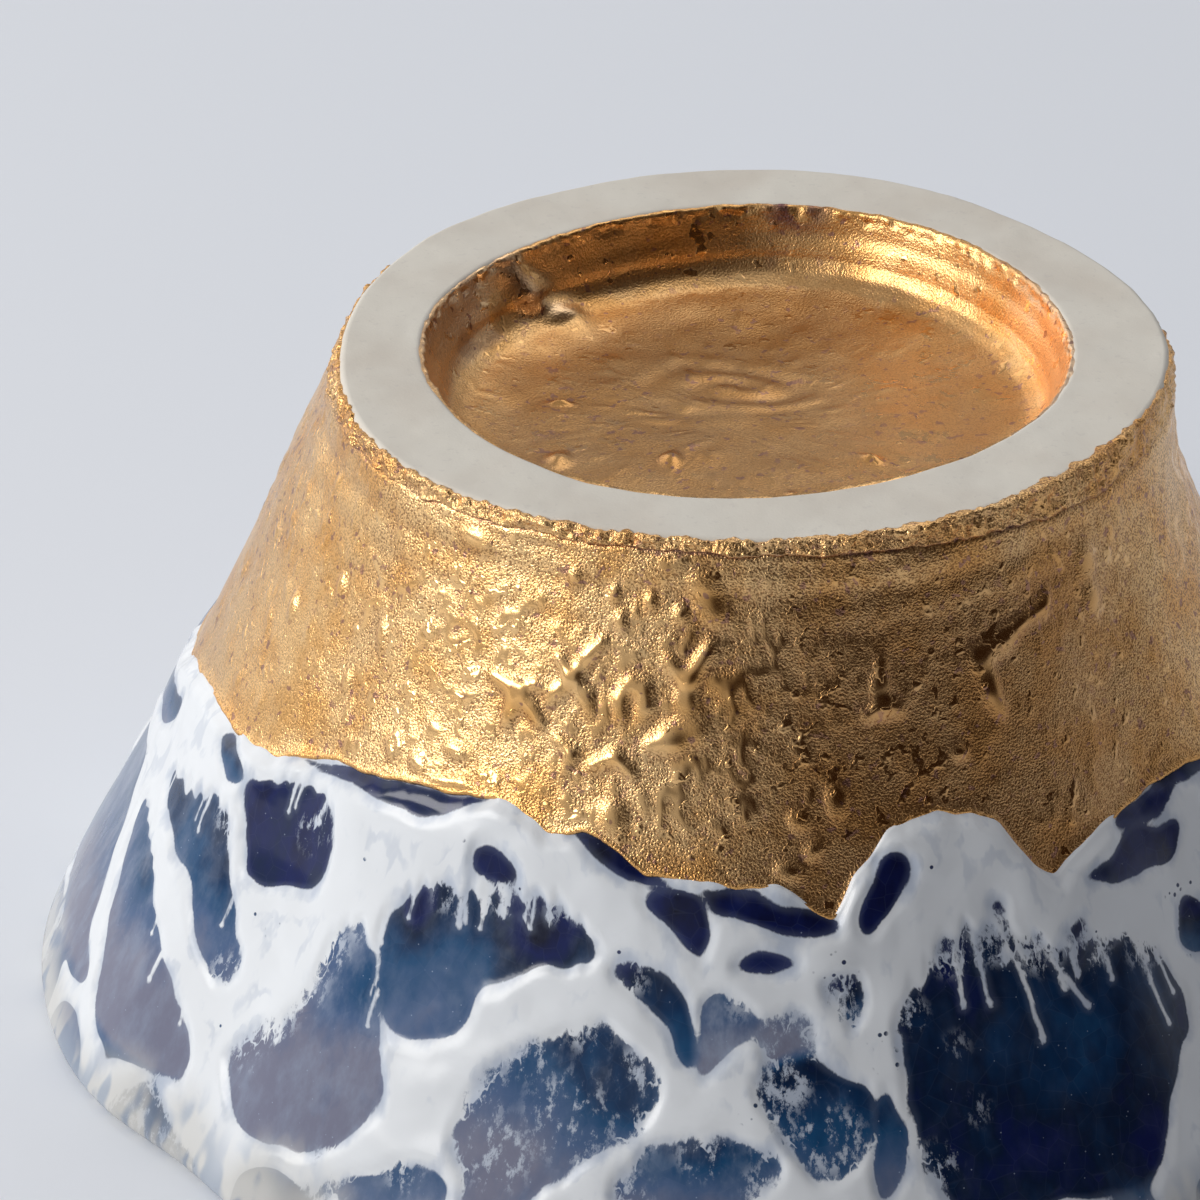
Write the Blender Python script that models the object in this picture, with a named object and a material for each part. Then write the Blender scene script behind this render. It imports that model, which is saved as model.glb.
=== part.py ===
"""Porcelain sake cup, turned over and resting on its rim, with the foot ring on top.

One solid of thrown and turned clay: an outer wall that flares from a short upright foot to the lip,
a hollow bowl inside it, and a round recess turned into the foot. The plan is not a true circle:
soft folds were pressed into the wall with a finger, and the foot was trimmed by hand, a little off
the middle. Metres, +Z up, origin on the ground under the middle of the cup.
"""
import math

import bmesh
import bpy

# Driving dimensions
HEIGHT = 0.0367
RIM_DIAMETER = 0.0740
LIP_THICKNESS = 0.0022
LIP_LAND_WIDTH = 0.0008
WALL_THICKNESS = 0.0031
FLARE_AT_FOOT = 0.30
FLARE_AT_LIP = 0.50

FOOT_DIAMETER = 0.0427
FOOT_WALL_HEIGHT = 0.0028
FOOT_WALL_SPREAD = 0.0005
FOOT_EDGE_RADIUS = 0.0004
FOOT_RING_WIDTH = 0.0048

RECESS_DEPTH = 0.0045
RECESS_WALL_SLOPE = 0.0006
RECESS_CORNER_RADIUS = 0.0020

FLOOR_THICKNESS = 0.0036
BOWL_LIP_HEIGHT = 0.0060
BOWL_TURN_HEIGHT = 0.0150
BOWL_WALL_PULL = 0.74
BOWL_FLOOR_PULL = 0.78

# Folds pressed into the wall: deepest at the lip, angles in degrees round the cup
FOLD_DEPTH = 0.0011
FOLD_HALF_WIDTH = 9.0
FOLD_ANGLES = (-142.0, -39.0, 47.0, 128.0)

# Hand-made departures from a circle: (waves round the cup, height of a wave, angle of a crest)
BODY_WAVES = ((3, 0.00020, 90.0), (4, 0.00020, 0.0))
FOOT_WAVES = ((1, 0.00060, 0.0), (2, 0.00020, 31.0), (3, 0.00021, -14.0), (5, 0.00019, 3.0))
RECESS_WAVES = ((1, 0.00053, 14.0), (2, 0.00031, 38.0), (4, 0.00017, -16.0))
FOOT_BLEND_HEIGHT = 0.0070

# Fineness of the solid
SECTORS = 80
FLARE_STEPS = 13
EDGE_STEPS = 3
BOWL_WALL_STEPS = 4
BOWL_FLOOR_STEPS = 8
RECESS_FLOOR_STEPS = 3

# Porcelain body, under its coats
CLAY_COLOR = (0.60, 0.58, 0.54, 1.0)
CLAY_ROUGHNESS = 0.55

foot_radius = FOOT_DIAMETER / 2
rim_radius = RIM_DIAMETER / 2
recess_radius = foot_radius - FOOT_RING_WIDTH
flare_top = HEIGHT - FOOT_WALL_HEIGHT
recess_floor = HEIGHT - RECESS_DEPTH
bowl_floor = recess_floor - FLOOR_THICKNESS
lip_radius = (LIP_THICKNESS - LIP_LAND_WIDTH) / 2


def cubic(start, start_pull, end_pull, end, share):
    """Point at a share from 0 to 1 along a cubic curve with two pull points."""
    rest = 1 - share
    weights = (rest ** 3, 3 * rest ** 2 * share, 3 * rest * share ** 2, share ** 3)
    points = (start, start_pull, end_pull, end)
    return tuple(sum(w * p[axis] for w, p in zip(weights, points)) for axis in (0, 1))


def quarter_round(centre, radius, from_degrees, to_degrees):
    """Points of a rounded edge, from one angle to the other."""
    points = []
    for step in range(EDGE_STEPS + 1):
        angle = math.radians(from_degrees + (to_degrees - from_degrees) * step / EDGE_STEPS)
        points.append((centre[0] + radius * math.cos(angle), centre[1] + radius * math.sin(angle)))
    return points


def flare_point(share):
    """Outer wall from under the foot (share 0) to where the lip starts to round (share 1)."""
    top = (foot_radius + FOOT_WALL_SPREAD, flare_top)
    bottom = (rim_radius, lip_radius)
    third = (top[1] - bottom[1]) / 3
    top_pull = (top[0] + FLARE_AT_FOOT * third, top[1] - third)
    bottom_pull = (bottom[0] - FLARE_AT_LIP * third, bottom[1] + third)
    return cubic(top, top_pull, bottom_pull, bottom, share)


def flare_share_at(height):
    """Share of the way down the outer wall at which it passes a height."""
    low, high = 0.0, 1.0
    for _ in range(40):
        middle = (low + high) / 2
        if flare_point(middle)[1] > height:
            low = middle
        else:
            high = middle
    return low


def waves(entries, angle):
    return sum(tall * math.cos(count * (angle - math.radians(crest))) for count, tall, crest in entries)


def folds(angle):
    """Depth of the pressed folds at an angle, as a negative reach."""
    depth = 0.0
    for middle in FOLD_ANGLES:
        off = (math.degrees(angle) - middle + 180) % 360 - 180
        depth += math.exp(-(off / FOLD_HALF_WIDTH) ** 2)
    return -FOLD_DEPTH * depth


def departure(angle, foot=0.0, recess=0.0, body=0.0):
    """How far the plan stands outside its circle at an angle."""
    parts = ((foot, FOOT_WAVES), (recess, RECESS_WAVES), (body, BODY_WAVES))
    return body * folds(angle) + sum(part * waves(entries, angle) for part, entries in parts)


def body_share(height):
    """The folds start under the foot and are full at the lip."""
    down = min(max((flare_top - height) / flare_top, 0.0), 1.0)
    return math.sin(down * math.pi / 2)


def foot_share(height):
    """The hand-trimmed outline of the foot fades out a little way below it."""
    down = min((HEIGHT - height) / FOOT_BLEND_HEIGHT, 1.0)
    return (1 + math.cos(down * math.pi)) / 2


def outside_rings():
    """Foot edge, foot wall, flared wall and lip, from the top down."""
    corner = (foot_radius - FOOT_EDGE_RADIUS, HEIGHT - FOOT_EDGE_RADIUS)
    profile = quarter_round(corner, FOOT_EDGE_RADIUS, 90, 0)
    profile += [flare_point(step / FLARE_STEPS) for step in range(FLARE_STEPS + 1)]
    profile += quarter_round((rim_radius - lip_radius, lip_radius), lip_radius, 0, -90)[1:]
    return [(radius, height, {"foot": foot_share(height), "body": body_share(height)})
            for radius, height in profile]


def bowl_rings():
    """Lip and hollow bowl, from the land at the rim up to the bowl's floor, just short of its middle."""
    inner_lip = rim_radius - LIP_THICKNESS
    profile = quarter_round((inner_lip + lip_radius, lip_radius), lip_radius, 270, 180)
    first = flare_share_at(BOWL_LIP_HEIGHT)
    last = flare_share_at(BOWL_TURN_HEIGHT)
    for step in range(BOWL_WALL_STEPS + 1):
        radius, height = flare_point(first + (last - first) * step / BOWL_WALL_STEPS)
        profile.append((radius - WALL_THICKNESS, height))
    below, turn = profile[-2], profile[-1]
    slope = (turn[0] - below[0]) / (turn[1] - below[1])
    rise = (bowl_floor - turn[1]) * BOWL_WALL_PULL
    turn_pull = (turn[0] + slope * rise, turn[1] + rise)
    floor_pull = (turn[0] * BOWL_FLOOR_PULL, bowl_floor)
    for step in range(1, BOWL_FLOOR_STEPS):
        profile.append(cubic(turn, turn_pull, floor_pull, (0.0, bowl_floor), step / BOWL_FLOOR_STEPS))
    return [(radius, height, {"body": body_share(height) * radius / inner_lip})
            for radius, height in profile]


def recess_rings():
    """Recess in the foot, from its edge on the foot ring down to its floor, just short of its middle."""
    edge = (recess_radius + FOOT_EDGE_RADIUS, HEIGHT - FOOT_EDGE_RADIUS)
    profile = quarter_round(edge, FOOT_EDGE_RADIUS, 90, 180)
    corner_radius = recess_radius - RECESS_WALL_SLOPE - RECESS_CORNER_RADIUS
    corner = (corner_radius, recess_floor + RECESS_CORNER_RADIUS)
    profile += quarter_round(corner, RECESS_CORNER_RADIUS, 0, -90)
    for step in range(1, RECESS_FLOOR_STEPS):
        profile.append((corner_radius * (1 - step / RECESS_FLOOR_STEPS), recess_floor))
    return [(radius, height, {"recess": radius / recess_radius}) for radius, height in profile]


def add_ring(mesh, radius, height, shares):
    loop = []
    for sector in range(SECTORS):
        angle = 2 * math.pi * sector / SECTORS
        reach = radius + departure(angle, **shares)
        loop.append(mesh.verts.new((reach * math.cos(angle), reach * math.sin(angle), height)))
    return loop


def join_rings(mesh, upper, lower):
    """Band of faces between two rings; it faces outwards when the second is lower on the outside."""
    for sector in range(SECTORS):
        following = (sector + 1) % SECTORS
        mesh.faces.new((upper[following], upper[sector], lower[sector], lower[following]))


def close_middle(mesh, ring, height, upwards):
    middle = mesh.verts.new((0.0, 0.0, height))
    for sector in range(SECTORS):
        following = (sector + 1) % SECTORS
        pair = (ring[sector], ring[following]) if upwards else (ring[following], ring[sector])
        mesh.faces.new((*pair, middle))


def centre_plan(mesh):
    """Moves the middle of the cup's plan over the origin."""
    for axis in (0, 1):
        places = [vertex.co[axis] for vertex in mesh.verts]
        middle = (min(places) + max(places)) / 2
        for vertex in mesh.verts:
            vertex.co[axis] -= middle


def clay_material():
    material = bpy.data.materials.new("porcelain")
    material.use_nodes = True
    shader = material.node_tree.nodes["Principled BSDF"]
    shader.inputs["Base Color"].default_value = CLAY_COLOR
    shader.inputs["Roughness"].default_value = CLAY_ROUGHNESS
    shader.inputs["Metallic"].default_value = 0.0
    return material


def build_cup():
    mesh = bmesh.new()
    recess = [add_ring(mesh, *ring) for ring in recess_rings()]
    outside = [add_ring(mesh, *ring) for ring in outside_rings()]
    bowl = [add_ring(mesh, *ring) for ring in bowl_rings()]
    skin = recess[::-1] + outside + bowl
    for upper, lower in zip(skin, skin[1:]):
        join_rings(mesh, upper, lower)
    close_middle(mesh, skin[0], recess_floor, upwards=True)
    close_middle(mesh, skin[-1], bowl_floor, upwards=False)
    centre_plan(mesh)
    data = bpy.data.meshes.new("sake_cup")
    mesh.to_mesh(data)
    mesh.free()
    data.shade_smooth()
    data.set_sharp_from_angle(angle=math.radians(35))
    data.materials.append(clay_material())
    cup = bpy.data.objects.new("sake_cup", data)
    bpy.context.scene.collection.objects.link(cup)
    return cup


for old in list(bpy.data.objects):
    bpy.data.objects.remove(old)
build_cup()
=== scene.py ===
# %% [markdown]
# # A porcelain cup under gold lustre and a sea-foam glaze
# The cup is small enough to sit in a palm. It is turned over and rests on its rim, so the foot ring is on
# top, the gold wall flares down from it, and a glossy blue and white glaze covers the lower half.
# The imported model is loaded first. It fixes where the clay is, and every coat below is laid on it.

# %% Load the fixed frame
import math

import bpy
import numpy as np
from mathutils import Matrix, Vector
from mathutils.bvhtree import BVHTree


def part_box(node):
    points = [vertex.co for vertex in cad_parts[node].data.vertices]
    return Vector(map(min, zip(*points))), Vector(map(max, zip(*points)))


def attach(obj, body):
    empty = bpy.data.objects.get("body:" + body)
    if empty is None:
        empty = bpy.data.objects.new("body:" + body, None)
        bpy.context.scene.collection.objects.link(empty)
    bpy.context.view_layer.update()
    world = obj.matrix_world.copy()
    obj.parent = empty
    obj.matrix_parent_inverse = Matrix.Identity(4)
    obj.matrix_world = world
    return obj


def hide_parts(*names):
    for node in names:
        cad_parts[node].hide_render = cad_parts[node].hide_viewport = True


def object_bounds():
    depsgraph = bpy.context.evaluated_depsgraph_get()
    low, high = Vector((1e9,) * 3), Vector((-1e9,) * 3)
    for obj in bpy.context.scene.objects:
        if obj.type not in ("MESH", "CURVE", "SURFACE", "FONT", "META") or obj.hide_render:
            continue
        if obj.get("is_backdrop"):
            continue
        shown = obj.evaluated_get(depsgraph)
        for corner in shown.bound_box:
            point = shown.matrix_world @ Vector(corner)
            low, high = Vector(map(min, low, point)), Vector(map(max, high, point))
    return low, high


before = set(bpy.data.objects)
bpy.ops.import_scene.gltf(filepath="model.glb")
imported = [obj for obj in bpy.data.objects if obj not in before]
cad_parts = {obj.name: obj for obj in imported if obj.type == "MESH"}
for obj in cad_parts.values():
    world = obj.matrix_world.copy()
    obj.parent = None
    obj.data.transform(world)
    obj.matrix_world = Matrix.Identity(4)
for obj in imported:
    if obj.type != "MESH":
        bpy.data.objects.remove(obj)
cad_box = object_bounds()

MM = 0.001
cup_low, cup_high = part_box("sake_cup")
print("clay box in mm:", [round(side / MM, 2) for side in cup_high - cup_low])

# %% [markdown]
# ## The clay's drawing
# A potter throws the wall and turns the foot, so the form is a profile spun round an axis. A finger then
# presses soft folds into the wall, and the foot is trimmed by hand, a little off the middle.
# The same few sizes draw the profile here as in the solid, now in millimetres, so that thin coats can be
# laid on the skin with far finer steps than the solid has.

# %% Sizes of the turned profile, in millimetres
HEIGHT = (cup_high.z - cup_low.z) / MM
RIM_RADIUS = 37.0
LIP_THICKNESS = 2.2
LIP_LAND_WIDTH = 0.8
WALL_THICKNESS = 3.1
FLARE_AT_FOOT = 0.30
FLARE_AT_LIP = 0.50
FOOT_RADIUS = 21.35
FOOT_WALL_HEIGHT = 2.8
FOOT_WALL_SPREAD = 0.5
FOOT_EDGE_RADIUS = 0.4
FOOT_RING_WIDTH = 4.8
FOOT_BLEND_HEIGHT = 7.0
RECESS_DEPTH = 4.5
RECESS_WALL_SLOPE = 0.6
RECESS_CORNER_RADIUS = 2.0
FLOOR_THICKNESS = 3.6
BOWL_LIP_HEIGHT = 6.0
BOWL_TURN_HEIGHT = 15.0
BOWL_WALL_PULL = 0.74
BOWL_FLOOR_PULL = 0.78
FOLD_DEPTH = 1.1
FOLD_HALF_WIDTH = 9.0
FOLD_ANGLES = (-142.0, -39.0, 47.0, 128.0)

# Hand-made departures from a circle: (waves round the cup, height of a wave, angle of a crest)
BODY_WAVES = ((3, 0.20, 90.0), (4, 0.20, 0.0))
FOOT_WAVES = ((1, 0.60, 0.0), (2, 0.20, 31.0), (3, 0.21, -14.0), (5, 0.19, 3.0))
RECESS_WAVES = ((1, 0.53, 14.0), (2, 0.31, 38.0), (4, 0.17, -16.0))
PLAN_SECTORS = 80

recess_radius = FOOT_RADIUS - FOOT_RING_WIDTH
flare_top = HEIGHT - FOOT_WALL_HEIGHT
recess_floor = HEIGHT - RECESS_DEPTH
bowl_floor = recess_floor - FLOOR_THICKNESS
lip_radius = (LIP_THICKNESS - LIP_LAND_WIDTH) / 2
print("bowl floor at", round(bowl_floor, 2), "mm above the rim")


# %% Curves of the profile
def cubic(start, start_pull, end_pull, end, shares):
    """Points along a cubic curve with two pull points, at shares from 0 to 1."""
    share = np.asarray(shares, float)[:, None]
    rest = 1 - share
    curve = rest ** 3 * np.array(start) + 3 * rest ** 2 * share * np.array(start_pull)
    return curve + 3 * rest * share ** 2 * np.array(end_pull) + share ** 3 * np.array(end)


def arc(centre, radius, from_degrees, to_degrees, steps=10):
    angle = np.radians(np.linspace(from_degrees, to_degrees, steps + 1))
    return np.stack((centre[0] + radius * np.cos(angle), centre[1] + radius * np.sin(angle)), -1)


def flare(shares):
    """Outer wall from under the foot (share 0) to where the lip starts to round (share 1)."""
    top = (FOOT_RADIUS + FOOT_WALL_SPREAD, flare_top)
    bottom = (RIM_RADIUS, lip_radius)
    third = (top[1] - bottom[1]) / 3
    top_pull = (top[0] + FLARE_AT_FOOT * third, top[1] - third)
    bottom_pull = (bottom[0] - FLARE_AT_LIP * third, bottom[1] + third)
    return cubic(top, top_pull, bottom_pull, bottom, shares)


def foot_face_profile():
    """Flat ring that shows bare clay, from the recess's edge outwards."""
    inner = recess_radius + FOOT_EDGE_RADIUS
    outer = FOOT_RADIUS - FOOT_EDGE_RADIUS
    return np.array([(inner + (outer - inner) * step / 12, HEIGHT) for step in range(13)])


def wall_profile():
    """Rounded foot edge, upright foot wall, flare and lip, from the top down to the lip's flat land."""
    edge = arc((FOOT_RADIUS - FOOT_EDGE_RADIUS, HEIGHT - FOOT_EDGE_RADIUS), FOOT_EDGE_RADIUS, 90, 0)
    lip = arc((RIM_RADIUS - lip_radius, lip_radius), lip_radius, 0, -90)
    land = np.array(((RIM_RADIUS - lip_radius - LIP_LAND_WIDTH / 2, 0.0),))
    return np.concatenate((edge, flare(np.linspace(0, 1, 160)), lip[1:], land))


def bowl_profile():
    """Lip, hollow wall and floor of the bowl, from the land at the rim up to the middle of its floor."""
    inner_lip = RIM_RADIUS - LIP_THICKNESS
    land = np.array(((inner_lip + lip_radius + LIP_LAND_WIDTH / 2, 0.0),))
    lip = arc((inner_lip + lip_radius, lip_radius), lip_radius, 270, 180)
    whole = flare(np.linspace(0, 1, 400))
    heights = np.linspace(BOWL_LIP_HEIGHT, BOWL_TURN_HEIGHT, 30)
    radii = np.interp(heights, whole[::-1, 1], whole[::-1, 0]) - WALL_THICKNESS
    wall = np.stack((radii, heights), -1)
    turn = wall[-1]
    slope = (wall[-1, 0] - wall[-2, 0]) / (wall[-1, 1] - wall[-2, 1])
    rise = (bowl_floor - turn[1]) * BOWL_WALL_PULL
    turn_pull = (turn[0] + slope * rise, turn[1] + rise)
    floor_pull = (turn[0] * BOWL_FLOOR_PULL, bowl_floor)
    floor = cubic(turn, turn_pull, floor_pull, (0.0, bowl_floor), np.linspace(0, 1, 60)[1:])
    return np.concatenate((land, lip, wall, floor))


def recess_profile():
    """Hollow in the foot, from the middle of its floor out and up to the foot ring."""
    corner_middle = recess_radius - RECESS_WALL_SLOPE - RECESS_CORNER_RADIUS
    corner = arc((corner_middle, recess_floor + RECESS_CORNER_RADIUS), RECESS_CORNER_RADIUS, -90, 0)
    edge = arc((recess_radius + FOOT_EDGE_RADIUS, HEIGHT - FOOT_EDGE_RADIUS), FOOT_EDGE_RADIUS, 180, 90)
    floor = np.array([(corner_middle * step / 30, recess_floor) for step in range(30)])
    return np.concatenate((floor, corner, edge))


# %% [markdown]
# A point on the skin is named by two numbers: how far round the cup it is (its turn, in degrees from the
# side that faces the camera, positive to the right), and how far it is along the profile. That pair is
# what a decorator thinks in when a brush or a dip line goes round a pot.

# %% The skin: from turn and length to a place in space
def waves(entries, angle):
    return sum(tall * np.cos(count * (angle - math.radians(crest))) for count, tall, crest in entries)


def hump(off, width):
    """1 where off is 0, falling away smoothly on both sides over about the width."""
    return np.exp(-(off / width) ** 2)


def folds(angle):
    depth = 0.0
    for middle in FOLD_ANGLES:
        off = (np.degrees(angle) - middle + 180) % 360 - 180
        depth = depth + hump(off, FOLD_HALF_WIDTH)
    return -FOLD_DEPTH * depth


def body_share(heights):
    return np.sin(np.clip((flare_top - heights) / flare_top, 0, 1) * math.pi / 2)


def foot_share(heights):
    return (1 + np.cos(np.minimum((HEIGHT - heights) / FOOT_BLEND_HEIGHT, 1) * math.pi)) / 2


class Skin:
    """A stretch of the cup's surface: its profile, and how much of each hand-made wave it takes."""

    def __init__(self, outline, kind, start=0.0):
        self.radius, self.height = outline.T
        steps = np.hypot(*np.diff(outline, axis=0).T)
        self.along = np.concatenate(([0.0], np.cumsum(steps))) + start
        nothing = np.zeros(len(outline))
        self.foot = foot_share(self.height) if kind == "wall" else nothing
        self.recess = self.radius / recess_radius if kind == "recess" else nothing
        self.body = nothing
        if kind == "wall":
            self.body = body_share(self.height)
        if kind == "bowl":
            self.body = body_share(self.height) * self.radius / (RIM_RADIUS - LIP_THICKNESS)
        if kind == "face":
            across = (self.radius - self.radius[0]) / np.ptp(self.radius)
            self.foot = across
            self.recess = (1 - across) * (1 + FOOT_EDGE_RADIUS / recess_radius)

    def length_at(self, heights):
        order = np.argsort(self.height)
        return np.interp(heights, self.height[order], self.along[order])

    def radius_at(self, lengths):
        return np.interp(lengths, self.along, self.radius)

    def place(self, lengths, turns):
        """Places in mm for lengths along the profile and turns round the cup."""
        lengths, turns = np.broadcast_arrays(lengths, turns)
        angle = np.radians(turns - 90.0)
        radius, height, foot, recess, body = (
            np.interp(lengths, self.along, row)
            for row in (self.radius, self.height, self.foot, self.recess, self.body))
        reach = radius + body * (folds(angle) + waves(BODY_WAVES, angle))
        reach = reach + foot * waves(FOOT_WAVES, angle) + recess * waves(RECESS_WAVES, angle)
        return np.stack((reach * np.cos(angle), reach * np.sin(angle), height), -1) - plan_middle


plan_middle = np.zeros(3)
wall = Skin(wall_profile(), "wall")
widest = wall.place(wall.along[np.argmax(wall.radius)], np.arange(PLAN_SECTORS) * 360 / PLAN_SECTORS)
plan_middle = (widest.max(0) + widest.min(0)) / 2 * np.array((1, 1, 0))
face_outline = foot_face_profile()
face = Skin(face_outline, "face", start=-np.ptp(face_outline[:, 0]))
bowl = Skin(bowl_profile(), "bowl")
recess = Skin(recess_profile(), "recess")
print("wall is", round(wall.along[-1], 1), "mm long from foot edge to lip; plan middle", plan_middle.round(2))


# %% [markdown]
# Relief is laid on a grid of such points. Each grid knows which way is out, so a coat is just a height
# in millimetres along that direction. Columns are closer together on the side that faces the camera,
# where the glaze and the gold are seen from near by.

# %% Grids and directions
VIEWED_FROM = -102.0
VIEWED_TO = 68.0


def column_turns(viewed_columns, other_columns):
    """Turns of the grid's columns, in degrees, close together on the viewed side."""
    viewed = np.linspace(VIEWED_FROM, VIEWED_TO, viewed_columns, endpoint=False)
    other = np.linspace(VIEWED_TO, VIEWED_FROM + 360, other_columns, endpoint=False)
    return np.concatenate((viewed, other))


def outward(places):
    """Unit directions out of the clay on a closed ring of columns."""
    across = np.roll(places, -1, axis=1) - np.roll(places, 1, axis=1)
    down = np.gradient(places, axis=0)
    normal = np.cross(down, across)
    size = np.linalg.norm(normal, axis=-1, keepdims=True)
    return normal / np.maximum(size, 1e-9)


def raised(places, height):
    return places + outward(places) * np.asarray(height)[..., None]


def sunk(places, depth):
    """The hidden side of a coat: rows that lead back up under it, set a depth into the clay."""
    return places - outward(places[::-1])[::-1] * depth


def ease(start, end, value):
    """Smooth step from 0 at start to 1 at end. Start may be the larger."""
    share = np.clip((value - start) / (end - start), 0, 1)
    return share * share * (3 - 2 * share)


def in_and_out(value, start, full, full_until, end):
    """1 from full to full_until, and 0 before start and after end, with smooth steps between."""
    return ease(start, full, value) * ease(end, full_until, value)


def soften(grid, passes=1):
    """Light blur over a grid whose columns go round."""
    for _ in range(passes):
        grid = (np.roll(grid, 1, axis=1) + 2 * grid + np.roll(grid, -1, axis=1)) / 4
        padded = np.concatenate((grid[:1], grid, grid[-1:]))
        grid = (padded[:-2] + 2 * grid + padded[2:]) / 4
    return grid


# %% [markdown]
# Fired surfaces are never even. A seeded lattice noise gives the same unevenness on each run: random
# numbers sit on a cubic lattice in the cup's own space, and are blended smoothly between its points.

# %% Seeded unevenness
def uneven(places, size, seed, octaves=1):
    """Smooth noise of about -1 to 1 at places in mm, with bumps about size mm across."""
    table = np.random.default_rng(seed).uniform(-1, 1, 4096)
    total = np.zeros(places.shape[:-1])
    strength = 1.0
    for octave in range(octaves):
        lattice = places * 2 ** octave / size + 31.7 * octave
        cell = np.floor(lattice).astype(np.int64)
        part = lattice - cell
        part = part * part * (3 - 2 * part)
        for corner in np.ndindex(2, 2, 2):
            key = cell + np.array(corner)
            slot = (key[..., 0] * 7919 + key[..., 1] * 104729 + key[..., 2] * 1299709) & 0xFFFFFF
            slot = (slot ^ (slot >> 7) ^ (slot >> 15)) & 4095
            weight = np.prod(np.where(np.array(corner) == 1, part, 1 - part), axis=-1)
            total += strength * weight * table[slot]
        strength *= 0.5
    return total * 1.6


# %% [markdown]
# ## From rows of points to a closed piece
# Each coat is a thin closed shell: rows of points down the visible side, then a few rows back up on the
# hidden side, under the clay. Its texture map is laid out in three strips, so that the pixels of a baked
# picture are shared out as the columns are.

# %% Closed mesh from rows
HIDDEN_STRIP = 0.96


def strip_map(rows, columns, visible, row_share):
    """Map corners (rows of quads, columns, 4, 2): three strips for what shows, a thin one for the rest."""
    third = columns // 3
    column = np.arange(columns)
    strip = np.minimum(column // third, 2)
    left = (column - strip * third) / (columns - 2 * third)
    right = left + 1 / (columns - 2 * third)
    across = np.stack((left, left, right, right), -1)
    corners = np.zeros((rows, columns, 4, 2))
    for row in range(rows):
        upper = row_share[row]
        lower = row_share[(row + 1) % len(row_share)]
        if row < visible - 1:
            down = np.array((upper, lower, lower, upper))
            corners[row, :, :, 0] = across * 0.996 + 0.002
            corners[row, :, :, 1] = (strip[:, None] + 0.01 + 0.98 * down) / 3 * (HIDDEN_STRIP - 0.01)
        else:
            corners[row, :, :, 0] = np.stack((column, column, column + 1, column + 1), -1) / columns
            step = (1 - HIDDEN_STRIP) / (rows - visible + 2)
            top = HIDDEN_STRIP + step * (row - visible + 1)
            corners[row, :, :, 1] = (top, top + step, top + step, top)
    return corners


def disc_map(rows, columns, visible, row_share):
    """Map corners for a piece closed in a middle: a large disc for what shows, a small one for the rest."""
    turn = np.arange(columns + 1) * 2 * math.pi / columns
    corners = np.zeros((rows, columns, 4, 2))
    for row in range(rows):
        shown = row < visible - 1
        middle, reach = ((0.56, 0.56), 0.43) if shown else ((0.07, 0.07), 0.06)
        for corner, (at, side) in enumerate(((row, 0), (row + 1, 0), (row + 1, 1), (row, 1))):
            share = reach * row_share[at % len(row_share)]
            around = turn[side:columns + side]
            corners[row, :, corner, 0] = middle[0] + share * np.cos(around)
            corners[row, :, corner, 1] = middle[1] + share * np.sin(around)
    return corners


def closed_piece(name, rows_of_points, visible, values, closes_in_middle=False, row_share=None):
    """Closed mesh object from rows of points in mm. What shows are the first rows, as many as visible."""
    rows, columns = rows_of_points.shape[:2]
    places = rows_of_points.reshape(-1, 3) * MM
    index = np.arange(rows * columns).reshape(rows, columns)
    upper, lower = (index[:-1], index[1:]) if closes_in_middle else (index, np.roll(index, -1, axis=0))
    quads = np.stack((upper, lower, np.roll(lower, -1, axis=1), np.roll(upper, -1, axis=1)), -1)
    make_map = disc_map if closes_in_middle else strip_map
    if row_share is None:
        row_share = np.concatenate((np.linspace(0, 1, visible), np.zeros(rows - visible)))
    corners = make_map(len(quads), columns, visible, row_share).reshape(-1, 2)
    faces = quads.reshape(-1, 4).tolist()
    if closes_in_middle:
        ends = rows_of_points[[0, -1]].mean(axis=1) * MM
        first, last = rows * columns, rows * columns + 1
        places = np.concatenate((places, ends))
        for column in range(columns):
            after = (column + 1) % columns
            faces.append([first, int(index[0, column]), int(index[0, after])])
            faces.append([int(index[-1, column]), last, int(index[-1, after])])
        fan = np.tile(np.array(((0.56, 0.56), (0.07, 0.07))).repeat(3, axis=0), (columns, 1))
        corners = np.concatenate((corners, fan))
    mesh = bpy.data.meshes.new(name)
    mesh.from_pydata(places.tolist(), [], faces)
    texture_map = mesh.uv_layers.new(name="OFBake")
    texture_map.data.foreach_set("uv", corners.astype(np.float32).ravel())
    for value_name, grid in values.items():
        spread = np.zeros(len(places), np.float32)
        spread[:grid.size] = grid.ravel()
        if closes_in_middle:
            spread[-2] = grid[0].mean()
            spread[-1] = grid[-1].mean()
        mesh.attributes.new(value_name, "FLOAT", "POINT").data.foreach_set("value", spread)
    mesh.shade_smooth()
    piece = bpy.data.objects.new(name, mesh)
    bpy.context.scene.collection.objects.link(piece)
    triangles = sum(len(face) - 2 for face in faces)
    print(name, "has", triangles, "triangles")
    return piece


def belongs(piece):
    """Every coat rides on the cup's one body and stands, with the others, for its solid."""
    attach(piece, "root")
    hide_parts("sake_cup")


# %% [markdown]
# ## Where one finish ends and the next begins
# The maker dipped the lip end in glaze, brushed lustre over the foot end, and the two meet in a wavy line
# that sags into drips. A second line, just under the foot, is a crease where the lustre pulled away.
# Both lines are a few points each, as (turn in degrees, height above the rim in mm), joined smoothly.

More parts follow.
